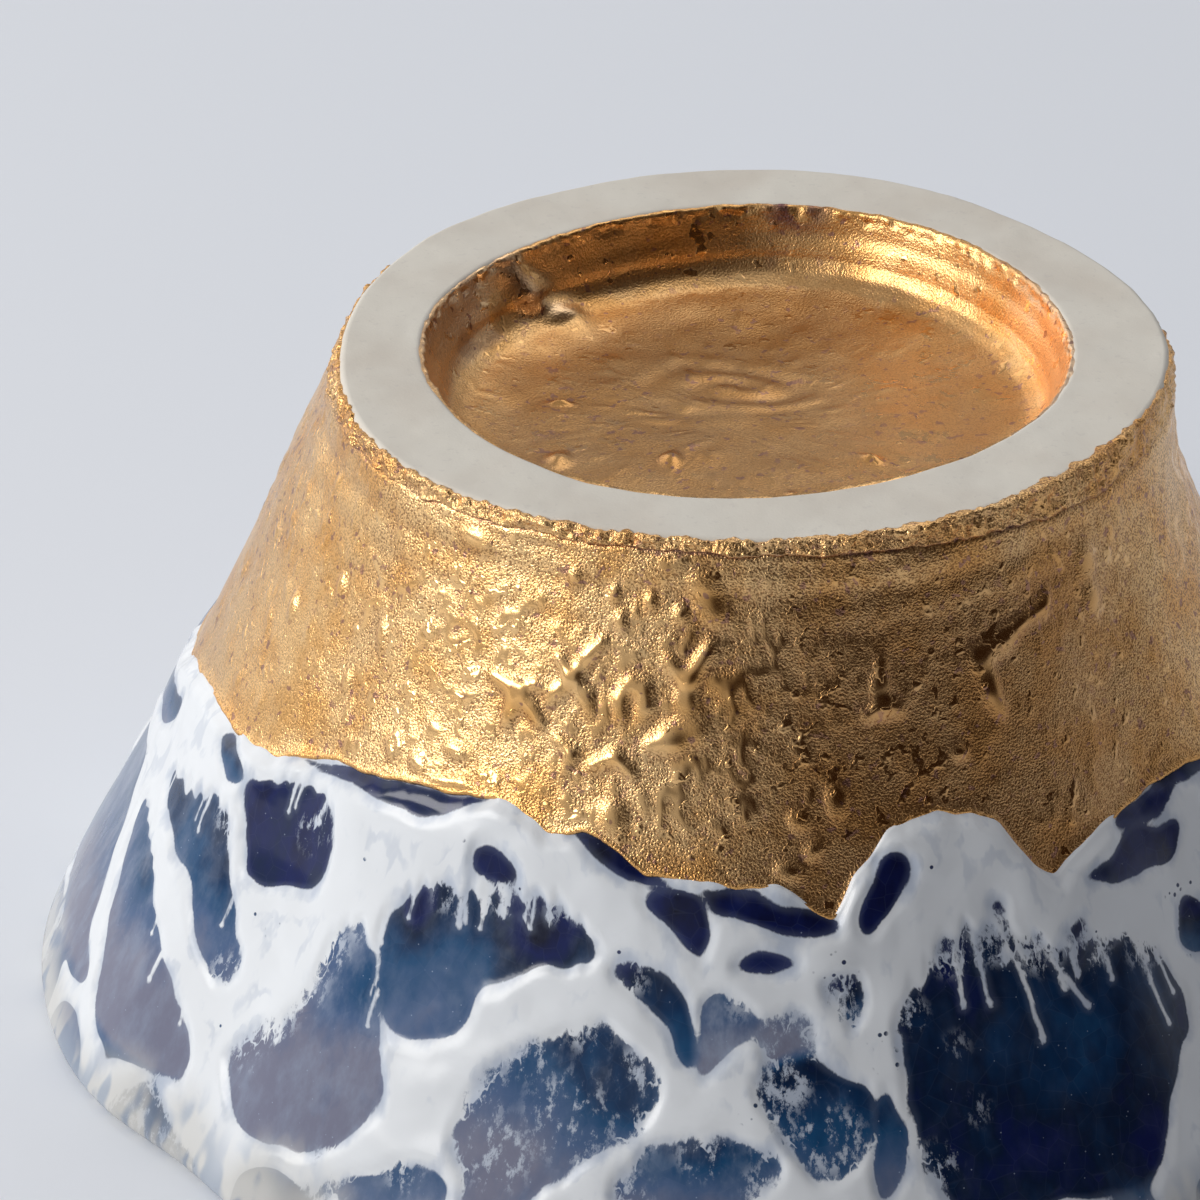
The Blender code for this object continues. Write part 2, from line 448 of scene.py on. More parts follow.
# %% The dip line and the crease
DIP_LINE = (
    (-93, 17.3), (-85, 18.5), (-79, 19.1), (-69, 19.4), (-59, 19.8), (-51, 21.2), (-46, 21.6), (-38, 22.3),
    (-27, 22.9), (-24, 22.8), (-20, 22.0), (-16, 22.4), (-12, 21.8), (-9, 20.8), (-1, 20.6), (5, 20.3),
    (8, 19.3), (10, 18.9), (11, 19.0), (13, 20.5), (15, 21.3), (17, 22.4), (20, 22.8), (23, 22.9),
    (27, 22.5), (30, 21.7), (31.5, 20.4), (33.5, 19.1), (35.5, 18.5), (37, 18.8), (41, 19.4), (46, 19.8),
    (55, 20.2), (61, 19.9))
CREASE_LINE = (
    (-95, 34.6), (-70, 35.5), (-40, 35.7), (-15, 35.9), (5, 35.9), (25, 35.6), (45, 35.0), (60, 34.7))
HIDDEN_WAVES = ((5, 0.9, 20.0), (9, 0.5, 75.0), (14, 0.3, 10.0))
CREASE_WAVER = 0.06
DIP_WAVER = 0.10


def round_line(points, turns, hidden_share=0.0):
    """Heights of a line that goes round the cup. The side that the points leave out gets soft waves."""
    at, heights = np.array(points, float).T
    line = np.interp(turns, at, heights, period=360)
    middle = (at[0] + 360 + at[-1]) / 2
    off = np.abs((turns - middle + 180) % 360 - 180)
    hidden = ease((at[0] + 360 - at[-1]) / 2, (at[0] + 360 - at[-1]) / 2 - 20, off)
    wavy = waves(HIDDEN_WAVES, np.radians(turns))
    line = line + hidden * hidden_share * wavy
    for _ in range(2):
        line = (np.roll(line, 1) + 2 * line + np.roll(line, -1)) / 4
    return line


def tremble(turns, size, seed):
    """One-dimensional unevenness along a line round the cup, of about -1 to 1."""
    angle = np.radians(turns)
    ring = np.stack((25 * np.cos(angle), 25 * np.sin(angle), np.zeros(len(turns))), -1)
    return uneven(ring, size, seed, octaves=3)


def crease_at(turns):
    """Lengths along the wall at which the lustre pulled away, just under the foot."""
    return wall.length_at(round_line(CREASE_LINE, turns)) + CREASE_WAVER * tremble(turns, 1.2, 21)


def dip_at(turns):
    """Lengths along the wall at which the gold ends."""
    return wall.length_at(round_line(DIP_LINE, turns, 1.0) + DIP_WAVER * tremble(turns, 1.6, 22))


front = np.zeros(1)
print("crease and dip line at the front, in mm down the wall:", crease_at(front), dip_at(front))

# %% [markdown]
# ## The porcelain body
# The bare clay shows only as the flat ring that the cup normally stands on: biscuit-fired, matte, a bit
# uneven where the turning tool left it. The rest of the body is there under the coats, a hair smaller
# than the solid, so that no coat has to fight with it.

# %% Porcelain body
CLAY_COLUMNS = 360
CLAY_UNDER_FACE = 0.07
CLAY_UNDER_COAT = 0.30
TOOLING = 0.025

clay_turns = np.arange(CLAY_COLUMNS) * 360 / CLAY_COLUMNS
clay_stretches = (
    (recess, np.linspace(0.4, recess.along[-1] - 0.62, 26), CLAY_UNDER_COAT),
    (recess, np.linspace(recess.along[-1] - 0.5, recess.along[-1] - 0.03, 7), CLAY_UNDER_FACE),
    (face, np.linspace(face.along[0], face.along[-1], 16), CLAY_UNDER_FACE),
    (wall, np.linspace(0.04, 0.75, 9), CLAY_UNDER_FACE),
    (wall, np.linspace(1.1, wall.along[-1] - 1.0, 40), CLAY_UNDER_COAT),
    (wall, np.linspace(wall.along[-1] - 0.9, wall.along[-1], 6), CLAY_UNDER_COAT),
    (bowl, np.linspace(0.2, bowl.along[-1] - 0.4, 46), CLAY_UNDER_COAT))
clay_places = np.concatenate([skin.place(rows[:, None], clay_turns) for skin, rows, _ in clay_stretches])
clay_depth = np.concatenate([np.full(len(rows), depth) for _, rows, depth in clay_stretches])
clay_depth = np.broadcast_to(clay_depth[:, None], clay_places.shape[:2])
tooling = TOOLING * uneven(clay_places, 2.6, 3, octaves=3)
clay_points = raised(clay_places, tooling - clay_depth)
clay_shown = sum(len(rows) for _, rows, _ in clay_stretches[:4])
clay_share = np.concatenate((np.linspace(0, 1, clay_shown), np.linspace(1, 0, len(clay_points) - clay_shown)))
porcelain = closed_piece("porcelain_body", clay_points, clay_shown, {}, True, clay_share)
belongs(porcelain)

# %% [markdown]
# ## Gold that ran and beaded
# Lustre is painted on as a liquid and melts in the kiln. Where it lay thick it pulled together into drops,
# short runs and rings that set smooth, while the thin film between them kept a sandy grain.
# Each drop adds a soft hump to a field. Where humps overlap they flow into one, as the metal did, and the
# field is then cut to a flat top with steep sides.

# %% Drops that flow together
class Melt:
    """A field over a grid on the skin, to which drops are added one by one."""

    def __init__(self, skin, lengths, turns):
        self.skin = skin
        self.lengths = np.broadcast_to(lengths, (len(lengths), len(turns)))
        self.turns = turns
        self.field = np.zeros(self.lengths.shape)
        self.first = self.lengths.min(axis=1)
        self.last = self.lengths.max(axis=1)

    def drop(self, turn, length, size, stretch=1.0, lean=0.0, strength=1.0):
        """A drop at a turn and length, size mm in radius, stretched along a line leaning off the vertical."""
        reach = size * max(stretch, 1.0)
        off = np.radians((self.turns - turn + 180) % 360 - 180) * self.skin.radius_at(length)
        columns = np.nonzero(np.abs(off) < reach)[0]
        rows = np.nonzero((self.first < length + reach) & (self.last > length - reach))[0]
        if not len(columns) or not len(rows):
            return
        block = np.ix_(rows, columns)
        down = self.lengths[block] - length
        across = off[columns][None, :]
        sine, cosine = math.sin(math.radians(lean)), math.cos(math.radians(lean))
        along_lean = (down * cosine + across * sine) / (size * stretch)
        over_lean = (across * cosine - down * sine) / size
        closeness = np.clip(1 - along_lean ** 2 - over_lean ** 2, 0, 1)
        self.field[block] += strength * closeness ** 2

    def run(self, points, sizes):
        """Drops close together along a few (turn, length) points, with a size at each point."""
        for (start, end, from_size, to_size) in zip(points, points[1:], sizes, sizes[1:]):
            radius = self.skin.radius_at(start[1])
            apart = math.hypot(math.radians(end[0] - start[0]) * radius, end[1] - start[1])
            steps = max(2, int(apart / (0.45 * min(from_size, to_size))))
            for share in np.linspace(0, 1, steps):
                place = np.array(start) + share * (np.array(end) - np.array(start))
                self.drop(place[0], place[1], from_size + share * (to_size - from_size), strength=0.6)

    def tops(self, full):
        """Round tops with steep edges, 1 high where the field is full."""
        return soften(np.sqrt(np.clip(self.field / full, 0, 1.2)))


def scatter(melt, random, count, sizes, turn_range, length_range, runs=0.3):
    """Seeded drops over a stretch of the skin. A share of them are short crooked runs."""
    for _ in range(count):
        turn = random.uniform(*turn_range)
        length = random.uniform(*length_range)
        size = min(sizes[0] * random.lognormal(0, 0.4), sizes[1])
        if random.random() > runs:
            stretch = random.uniform(1, 1.6)
            lean = random.uniform(-90, 90)
            melt.drop(turn, length, size, stretch, lean, random.uniform(0.5, 1.1))
            continue
        heading = random.uniform(0, 2 * math.pi)
        for _ in range(random.integers(3, 8)):
            melt.drop(turn, length, size * random.uniform(0.7, 1.05), strength=0.75)
            heading += random.normal(0, 0.6)
            turn += math.degrees(size * math.cos(heading) / melt.skin.radius_at(length))
            length += size * math.sin(heading)


# %% [markdown]
# The wall's gold starts in the crease under the foot and ends over the glaze. It was fired last, so its
# edge climbs onto the glaze and stops in a thin raised bead. The larger lumps are placed where the
# real ones sit, as (turn, height, size, stretch, lean); the small ones are scattered with a fixed seed.

# %% Gold over the wall
GOLD_SEED = 11
GOLD_THICKNESS = 0.10
DROP_RELIEF = 0.10
LUMP_RELIEF = 0.30
RUN_WIDENING = 1.35
GOLD_STEP_UP = 0.07
GOLD_WAVER = 0.05
BEAD_RELIEF = 0.05
BEAD_WIDTH = 0.09
BEAD_FROM_EDGE = 0.14
RING_HEIGHT = 0.03
RING_APART = 1.9
CREASE_DEPTH = 0.10
SHADED_SIDE = (-14, 18, 44, 70)
QUIET_SIDE = (0, 20, 70, 90)
HIDDEN_DEPTH = 0.55
LUMPS = (
    (-35.8, 34.7, 0.75, 1.6, 82), (-3.0, 33.7, 1.0, 1.8, 32), (-13.0, 23.2, 0.90, 1.4, 15),
    (-37.4, 23.4, 0.55, 1.5, 70), (-32.9, 24.6, 0.50, 1.8, 85), (-26.4, 28.0, 0.85, 1.2, 40),
    (51.3, 31.8, 0.95, 1.3, 0), (51.2, 29.9, 0.90, 1.4, 0), (11.9, 24.2, 0.70, 1.7, 5),
    (7.6, 23.4, 0.60, 1.3, 60), (9.1, 22.0, 0.50, 1.4, -60), (6.3, 21.1, 0.60, 1.5, 80),
    (-6.6, 32.9, 0.45, 1.2, 0), (-10.6, 33.4, 0.42, 1.3, 0), (-21, 34.0, 0.45, 1.3, 10),
    (-15.4, 33.6, 0.42, 1.5, 0), (-14.2, 32.2, 0.45, 1.6, 15), (27, 25.4, 0.45, 1.4, 70),
    (-48, 28.2, 0.50, 2.0, 10), (-58, 29.0, 0.42, 2.2, 5), (-52, 25.0, 0.40, 2.0, 0),
    (-66, 26.5, 0.45, 1.8, 10), (150, 29, 0.8, 1.5, 10), (-170, 26, 0.9, 1.4, -20),
    (110, 31, 0.7, 1.6, 15), (-130, 30, 0.8, 1.5, 0))
# Small drops: how many, sizes in mm, turns and lengths they are strewn over, and the share that are runs
SMALL_DROPS = (
    (330, (0.22, 0.45), (-42, 12), (5.0, 15.0), 0.5),
    (190, (0.24, 0.6), (12, 66), (4.0, 17.5), 0.5),
    (120, (0.17, 0.4), (-48, 62), (1.5, 6.0), 0.15),
    (170, (0.20, 0.4), (-105, -42), (1.5, 17.5), 0.25),
    (420, (0.36, 0.7), (68, 255), (1.5, 17.5), 0.3))
# Runs of metal, each as (turn, height) points and a size in mm for every point
RUNS = (
    (((-2.6, 31.5), (-5.3, 29.8), (-5.4, 28.8), (-4.8, 27.8)), (0.36, 0.52, 0.62, 0.85)),
    (((-7.9, 30.7), (-5.3, 29.8)), (0.36, 0.50)),
    (((-3.8, 27.4), (-6.6, 27.1), (-9.6, 26.7)), (0.75, 0.75, 0.34)),
    (((-13.1, 27.8), (-13.5, 28.7), (-12.3, 29.5), (-10.8, 29.3), (-10.2, 28.5), (-10.7, 27.9)),
     (0.34, 0.46, 0.44, 0.50, 0.46, 0.34)),
    (((-16.2, 31.3), (-18.0, 30.4), (-19.6, 29.3), (-21.0, 28.7), (-22.2, 28.0)),
     (0.30, 0.40, 0.50, 0.40, 0.28)),
    (((-21.8, 30.2), (-19.6, 29.3), (-17.8, 28.6), (-16.9, 27.9)), (0.28, 0.45, 0.50, 0.36)),
    (((-30.1, 28.6), (-26.4, 28.2), (-24.4, 27.6), (-22.8, 26.9)), (0.28, 0.55, 0.42, 0.30)),
    (((-26.4, 28.2), (-27.2, 26.5)), (0.50, 0.30)),
    (((-26.4, 28.2), (-24.2, 28.7), (-22.5, 28.6)), (0.45, 0.32, 0.26)),
    (((-42.2, 23.7), (-41.3, 24.2), (-40.4, 23.7), (-41.3, 23.2), (-42.2, 23.7)),
     (0.24, 0.24, 0.24, 0.24, 0.24)),
    (((18.5, 30.4), (18.0, 29.2), (18.2, 28.2)), (0.36, 0.50, 0.60)),
    (((16.2, 27.9), (18.2, 28.2), (20.2, 28.0)), (0.36, 0.55, 0.40)),
    (((43.6, 31.3), (42.7, 30.8), (38.5, 30.5), (35.2, 30.0), (31.6, 29.6), (32.2, 27.9), (33.0, 26.8)),
     (0.30, 0.44, 0.34, 0.60, 0.62, 0.58, 0.40)),
    (((-35.0, 22.9), (-31.0, 23.2), (-28.0, 22.9)), (0.24, 0.34, 0.26)),
    (((-20.5, 26.4), (-18.5, 25.8), (-19.0, 24.9)), (0.30, 0.36, 0.28)),
    (((-16.0, 25.4), (-13.4, 26.0), (-11.2, 25.3)), (0.30, 0.38, 0.28)))

# %% [markdown]
# The gold's rows run from the crease to the dip line, closest together at both ends, where its edges
# turn over. Its drops go into two fields: one for the small ones, and one for the placed lumps.

# %% Rows and drops of the wall's gold
gold_turns = column_turns(640, 320)
crease = crease_at(gold_turns)
dip = dip_at(gold_turns)
below_crease = np.array((-0.22, -0.10, 0.0, 0.10, 0.22, 0.36))[:, None] + crease
above_dip = dip - np.array((0.60, 0.48, 0.37, 0.28, 0.20, 0.13, 0.06, 0.0))[:, None]
between = np.linspace(0, 1, 76)[1:-1, None]
gold_lengths = np.concatenate((
    below_crease, below_crease[-1] + between * (above_dip[0] - below_crease[-1]), above_dip))
gold_base = wall.place(gold_lengths, gold_turns)

melt = Melt(wall, gold_lengths, gold_turns)
random = np.random.default_rng(GOLD_SEED)
for drops in SMALL_DROPS:
    scatter(melt, random, *drops)
small_tops = melt.tops(0.9)
lumps = Melt(wall, gold_lengths, gold_turns)
for turn, height, size, stretch, lean in LUMPS:
    lumps.drop(turn, wall.length_at(height), size, stretch, lean, 1.2)
for points, sizes in RUNS:
    route = [(turn, wall.length_at(height)) for turn, height in points]
    lumps.run(route, [RUN_WIDENING * size for size in sizes])
large_tops = lumps.tops(2.2)
small_tops = small_tops * ease(0.30, 0.04, soften(np.clip(lumps.field, 0, 1), 8))
small_tops = small_tops * (1 - 0.4 * in_and_out(gold_turns, *QUIET_SIDE))
print(len(LUMPS), "lumps and", len(RUNS), "runs are placed on the wall's gold")

# %% [markdown]
# The height of the gold adds up what makes it: the film, its drops, faint rings from the throwing,
# the step up onto the glaze and the bead at its edge. The same measures tell the finish where the
# gold is smooth, stained or burned.

# %% Height and tones of the wall's gold
from_dip = dip - gold_lengths
from_crease = gold_lengths - crease
calm = ease(0.0, 0.8, from_dip) * ease(0.1, 0.7, from_crease)
bead = BEAD_RELIEF * hump(from_dip - BEAD_FROM_EDGE, BEAD_WIDTH)
thrown = RING_HEIGHT * np.sin(gold_lengths * 2 * math.pi / RING_APART) * ease(9, 3, gold_lengths)
gold_height = GOLD_THICKNESS + GOLD_WAVER * uneven(gold_base, 3.2, 33, 2) * calm
gold_height += calm * (np.maximum(DROP_RELIEF * small_tops, LUMP_RELIEF * large_tops) + thrown)
gold_height += GOLD_STEP_UP * ease(0.85, 0.1, from_dip) + bead - CREASE_DEPTH * ease(0.22, -0.02, from_crease)
gold_smooth = calm * ease(0.3, 0.75, np.maximum(small_tops, large_tops))
gold_smooth = np.maximum(gold_smooth, 0.5 * calm * ease(-48, -64, gold_turns))
melted = ease(-0.5, 0.7, uneven(gold_base, 4.5, 32)) * calm
hollow = np.clip((soften(gold_height, 6) - gold_height) / 0.04, 0, 1) * calm

under_lengths = np.stack((dip + 0.07, dip - 0.35, (dip + crease) / 2, crease + 0.1))
under_depths = np.array((-0.02, HIDDEN_DEPTH, HIDDEN_DEPTH, HIDDEN_DEPTH))[:, None, None]
under = sunk(wall.place(under_lengths, gold_turns), under_depths)
gold_points = np.concatenate((raised(gold_base, gold_height), under))
crease_tone = ease(-0.4, 0.8, tremble(gold_turns, 2.5, 26)) * 0.8 + 0.1
gold_values = {
    "smooth": gold_smooth,
    "edge": ease(0.32, 0.1, from_dip),
    "hollow": hollow,
    "stain": ease(0.20, 0.0, from_crease) * crease_tone,
    "melted": melted,
    # Painted shade: the gold is darkened on its shaded side, to the front right, except near the foot.
    "painted_light_and_shade": 0.55 * in_and_out(gold_turns, *SHADED_SIDE) * ease(37, 31, gold_base[..., 2])}
gold_wall = closed_piece("gold_wall", gold_points, len(gold_lengths), gold_values)
belongs(gold_wall)

# %% [markdown]
# Above the crease the lustre wraps the foot's edge like crumpled leaf. Its upper edge is torn: on one side
# flakes of it lap onto the bare ring. That lap is thinner than the clay is set back, so nothing stands
# higher than the foot.

# %% Gold round the foot's edge
BAND_ROWS = 26
BAND_THICKNESS = 0.12
CRUMBS = 0.10
LAP = 0.015
BAND_OVERLAP = 0.10
BAND_DEPTH = 0.5
TUCK_ON_FACE = 0.30
TUCK_ON_WALL = 0.22
LAP_START = (
    (-180, 0.85), (-105, 0.80), (-75, 0.42), (-30, 0.26), (0, 0.22), (22, 0.10), (40, 0.02), (62, 0.02),
    (80, 0.35), (100, 0.80), (180, 0.85))
FLAKES = ((-22, 0.15, 1.2), (24.5, 0.30, 0.9), (28.5, 0.2, 0.8), (47, 0.4, 0.9), (53, 0.4, 1.1),
          (59, 0.3, 0.9))

band_turns = column_turns(1160, 400)
band_crease = crease_at(band_turns)
lap_at, lap_lengths = np.array(LAP_START, float).T
torn = np.interp((band_turns + 180) % 360 - 180, lap_at, lap_lengths)
torn += 0.07 * tremble(band_turns, 1.3, 23) + 0.08 * tremble(band_turns, 0.45, 24)
for turn, reach, half_width in FLAKES:
    torn -= reach * hump(band_turns - turn, half_width)
torn = np.maximum(torn, -1.4)
band_share = np.linspace(0, 1, BAND_ROWS)[:, None]
band_lengths = torn + band_share * (band_crease + BAND_OVERLAP - torn)


def over_the_edge(lengths, turns):
    """Places on the foot face for lengths under 0, and on the wall for the rest."""
    on_wall = wall.place(np.maximum(lengths, 0), turns)
    on_face = face.place(np.minimum(lengths, 0), turns)
    return np.where((lengths < 0)[..., None], on_face, on_wall)


band_base = over_the_edge(band_lengths, band_turns)
crumbs = uneven(band_base, 0.55, 41, 3) + 0.5 * np.abs(uneven(band_base, 0.9, 42))
from_torn = band_lengths - torn
on_wall_share = ease(0.05, 0.55, band_lengths)
band_height = BAND_THICKNESS + CRUMBS * crumbs + 0.05 * uneven(band_base, 2.4, 43)
band_height = np.maximum(band_height, 0.01) * on_wall_share - LAP * (1 - on_wall_share)
tuck = TUCK_ON_FACE * (1 - on_wall_share) * ease(0.06, 0.0, from_torn)
tuck += TUCK_ON_WALL * on_wall_share * ease(0.10, 0.0, from_torn)
to_end = band_crease + BAND_OVERLAP - band_lengths
band_height -= tuck + 0.20 * ease(0.16, 0.0, to_end)
band_under = np.stack((band_crease, np.maximum(band_crease - 0.5, 0.75), torn + 0.02))
band_under_places = sunk(over_the_edge(band_under, band_turns), BAND_DEPTH)
band_points = np.concatenate((raised(band_base, band_height), band_under_places))
band_points[..., 2] = np.minimum(band_points[..., 2], HEIGHT)
band_values = {
    "smooth": ease(0.1, 0.8, uneven(band_base, 1.0, 44)) * 0.4,
    "edge": ease(0.12, 0.02, from_torn) * 0.6,
    "hollow": ease(0.1, -0.6, crumbs),
    "stain": ease(0.24, 0.08, to_end) * 0.6,
    "melted": 0 * crumbs,
    "painted_light_and_shade": 0 * crumbs}
gold_band = closed_piece("gold_foot_band", band_points, len(band_lengths), band_values)
belongs(gold_band)

# %% [markdown]
# Inside the foot, the lustre lies over the marks of the turning tool: a few soft rings on the wall and a
# small swirl where the tool left the middle of the floor. Some lustre ran down the wall and stopped in
# a thick drip.

# %% Gold in the recess
RECESS_COLUMNS = 620
SWIRL_MIDDLE = (0.0, 3.6)
SWIRL_PITCH = 2.9
SWIRL_REACH = 4.2
SWIRL_RELIEF = 0.07
CORNER_FILL = 0.45
CORNER_FILL_AFTER = 1.0
CORNER_FILL_WIDTH = 2.4
RECESS_DROP_RELIEF = 0.06
RECESS_LUMP_RELIEF = 0.36
RIM_CRUMBS = 0.06
RING_RELIEF = 0.006
BACK_RING_RELIEF = 0.010
RING_PITCH = 1.15
RECESS_LUMPS = (
    (-36, 5.6, 0.6, 1.6, 60), (-63, 10.4, 0.7, 1.5, 70), (20, 9.0, 0.35, 1.4, 30),
    (60, 8.0, 0.4, 1.5, -30), (-100, 9.5, 0.35, 1.5, 0), (-10, 12.4, 0.4, 1.8, 80))
RECESS_DRIP = (((-130, 18.6), (-133, 17.0), (-138, 15.4), (-141, 13.8)), (1.2, 1.6, 1.7, 1.3))
DRIP_RELIEF = 0.5
DRIP_SHADE = (-124.5, 16.8, 1.3)
RIM_STAIN = (170.0, 6.0)
RECESS_THICKNESS = 0.05
RECESS_WAVER = 0.05
# Turns of the side walls that painted light pales: start, full, full until, end
LEFT_WALL_LIGHT_TURNS = (-138, -128, -90, -60)
RIGHT_WALL_LIGHT_TURNS = (50, 75, 112, 132)
RIGHT_BLOOM = (45, 75, 115, 140)

# %% [markdown]
# The swirl is a spiral wave that dies away from its middle. The drip is a run of drops in a field of
# its own, cut softly, so that it swells out of the wall instead of lying on it.

# %% Rows, drops and swirl of the recess
recess_turns = np.arange(RECESS_COLUMNS) * 360 / RECESS_COLUMNS - 180
wall_start = recess.length_at(recess_floor + 0.02)
corner_length = recess.along[np.nonzero(recess.height > recess_floor + 1e-6)[0][0] - 1]
recess_end = recess.along[-1] - 0.16 + 0.05 * tremble(recess_turns, 0.9, 25)
recess_share = np.concatenate((np.linspace(0.02, 0.70, 46), np.linspace(0.71, 1, 44)))[:, None]
recess_lengths = recess_share * recess_end
recess_base = recess.place(recess_lengths, recess_turns)
puddles = Melt(recess, recess_lengths, recess_turns)
scatter(puddles, random, 330, (0.22, 0.5), (-180, 180), (2.5, 20.5), 0.3)
recess_tops = puddles.tops(0.9) * ease(16.5, 13.0, recess_lengths)
drips = Melt(recess, recess_lengths, recess_turns)
for turn, length, size, stretch, lean in RECESS_LUMPS:
    drips.drop(turn, length, size, stretch, lean, 1.2)
drip_tops = drips.tops(1.2)
thick_drip = Melt(recess, recess_lengths, recess_turns)
thick_drip.run(*RECESS_DRIP)
thick_tops = soften(ease(0.0, 1.5, thick_drip.field), 14)
angle = np.radians(recess_turns)
swirl_x, swirl_y = (recess_base[..., axis] - SWIRL_MIDDLE[axis] for axis in (0, 1))
from_swirl = np.hypot(0.8 * swirl_x, 1.3 * swirl_y) + 0.9 * uneven(recess_base, 3.0, 48)
swirl_turn = np.arctan2(swirl_y, swirl_x)
swirl = np.sin(2 * math.pi * from_swirl / SWIRL_PITCH - swirl_turn) * hump(from_swirl, SWIRL_REACH)
back_right = ease(60, 20, np.abs(recess_turns - 135))
on_wall = ease(13.0, 15.5, recess_lengths)
rings = np.sin(recess_lengths * 2 * math.pi / RING_PITCH + 0.6 * np.sin(2 * angle)) * on_wall
from_end = recess_end - recess_lengths
rim_crumbs = uneven(recess_base, 0.4, 45, 3) * ease(1.1, 0.3, from_end)
print("the recess's floor turns up into its wall at", round(corner_length, 2), "mm from the middle")

# %% [markdown]
# The lustre gathered in the corner, where wall and floor meet, and its upper edge stops a little
# under the bare ring.

# %% Height of the recess's gold
recess_height = RECESS_THICKNESS + RECESS_WAVER * uneven(recess_base, 3.0, 46, 2) + SWIRL_RELIEF * swirl
recess_height += CORNER_FILL * hump(recess_lengths - corner_length - CORNER_FILL_AFTER, CORNER_FILL_WIDTH)
recess_height += rings * (RING_RELIEF + BACK_RING_RELIEF * back_right) + RIM_CRUMBS * rim_crumbs
recess_height += np.maximum(
    RECESS_DROP_RELIEF * recess_tops * ease(0.3, 1.0, from_end), RECESS_LUMP_RELIEF * drip_tops)
recess_height += DRIP_RELIEF * thick_tops
recess_height = recess_height * ease(0.0, 0.5, from_end + 0.12) - 0.16 * ease(0.10, 0.0, from_end)
recess_under = np.stack((
    recess_end - 0.1, recess_end - 1.2, np.full(RECESS_COLUMNS, wall_start), np.full(RECESS_COLUMNS, 0.8)))
recess_under_places = sunk(recess.place(recess_under, recess_turns), BAND_DEPTH)
recess_points = np.concatenate((raised(recess_base, recess_height), recess_under_places))
recess_points[..., 2] = np.minimum(recess_points[..., 2], HEIGHT)
recess_map_share = np.concatenate((recess_share[:, 0], np.array((1.0, 0.9, 0.6, 0.05))))
print("highest relief in the recess:", round(float(recess_height.max()), 2), "mm")

# %% [markdown]
# Inside a hollow, gold mirrors gold, and its tone changes from place to place. Here that light is painted:
# a value darkens the gold with painted shade, and where it is under 0 pales it with painted light.

# %% Tones, painted shade and painted light of the recess's gold
blotch = uneven(recess_base, 2.4, 47, 2)
rim_stain = hump(recess_turns - RIM_STAIN[0], RIM_STAIN[1]) * ease(2.2, 0.6, from_end)
less_shade_off_back_left = 0.5 * ease(20, 42, np.abs((recess_turns + 154 + 180) % 360 - 180))
drip_across = np.radians(recess_turns - DRIP_SHADE[0]) * recess.radius_at(DRIP_SHADE[1])
beside_drip = np.hypot(drip_across, 0.8 * (recess_lengths - DRIP_SHADE[1])) / DRIP_SHADE[2]
# Painted shade darkens the floor of the recess, and its wall at the back left.
recess_painted_shade = 0.50 * ease(corner_length + 3.4, corner_length - 2.6, recess_lengths + 0.8 * blotch)
wall_painted_shade = (0.3 - 0.6 * less_shade_off_back_left) * ease(corner_length + 1, corner_length + 4, recess_lengths)
recess_painted_shade = np.maximum(recess_painted_shade, wall_painted_shade)
# Painted light pales the side walls on the left and on the right.
wall_painted_light = ease(corner_length + 0.5, corner_length + 3, recess_lengths)
left_wall_painted_light = in_and_out(recess_turns, *LEFT_WALL_LIGHT_TURNS) * wall_painted_light
right_wall_painted_light = in_and_out(recess_turns, *RIGHT_WALL_LIGHT_TURNS) * wall_painted_light
# Painted shadow in a spot beside the drip; then painted shade on the back right wall, and painted light on
# the side walls and on the drip's ridge.
recess_painted_shade = np.maximum(recess_painted_shade * ease(0.3, 1.3, from_end), 0.8 * ease(1.1, 0.3, beside_drip))
recess_painted_shade += 0.28 * back_right * on_wall - 0.3 * left_wall_painted_light - 0.6 * right_wall_painted_light - 0.5 * thick_tops
rim_stain = rim_stain * ease(-0.3, 0.5, uneven(recess_base, 1.1, 49, 2) + 0.3)
right_bloom = 0.2 * in_and_out(recess_turns, *RIGHT_BLOOM) * ease(3.0, 1.4, from_end)
recess_values = {
    "smooth": np.maximum(np.maximum(0.8 * recess_tops, drip_tops), 0.2 * thick_tops),
    "edge": ease(0.5, 0.0, from_end) * 0.35,
    "hollow": np.clip((soften(recess_height, 6) - recess_height) / 0.04, 0, 1) * 0.7,
    "stain": np.maximum(ease(0.95, 1.5, blotch) * 0.3, np.maximum(rim_stain, right_bloom)),
    "melted": ease(-0.5, 0.7, blotch),
    "painted_light_and_shade": recess_painted_shade}
gold_recess = closed_piece(
    "gold_recess", recess_points, len(recess_lengths), recess_values, True, recess_map_share)
belongs(gold_recess)

# %% [markdown]
# ## The sea glaze
# Two glazes were laid over each other: a clear deep blue, and an opaque white that broke open as it melted.
# The white pulled back into a web of foam with windows of blue glass between.
# This was chance in the kiln, so only the broad layout of the windows follows the cup: each is a rough
# outline with a few corners. Its wavering edge, threads, spray and pores are seeded noise.
# A number called glass says, for every point, how many mm it lies inside a window. It is under 0 in the foam.

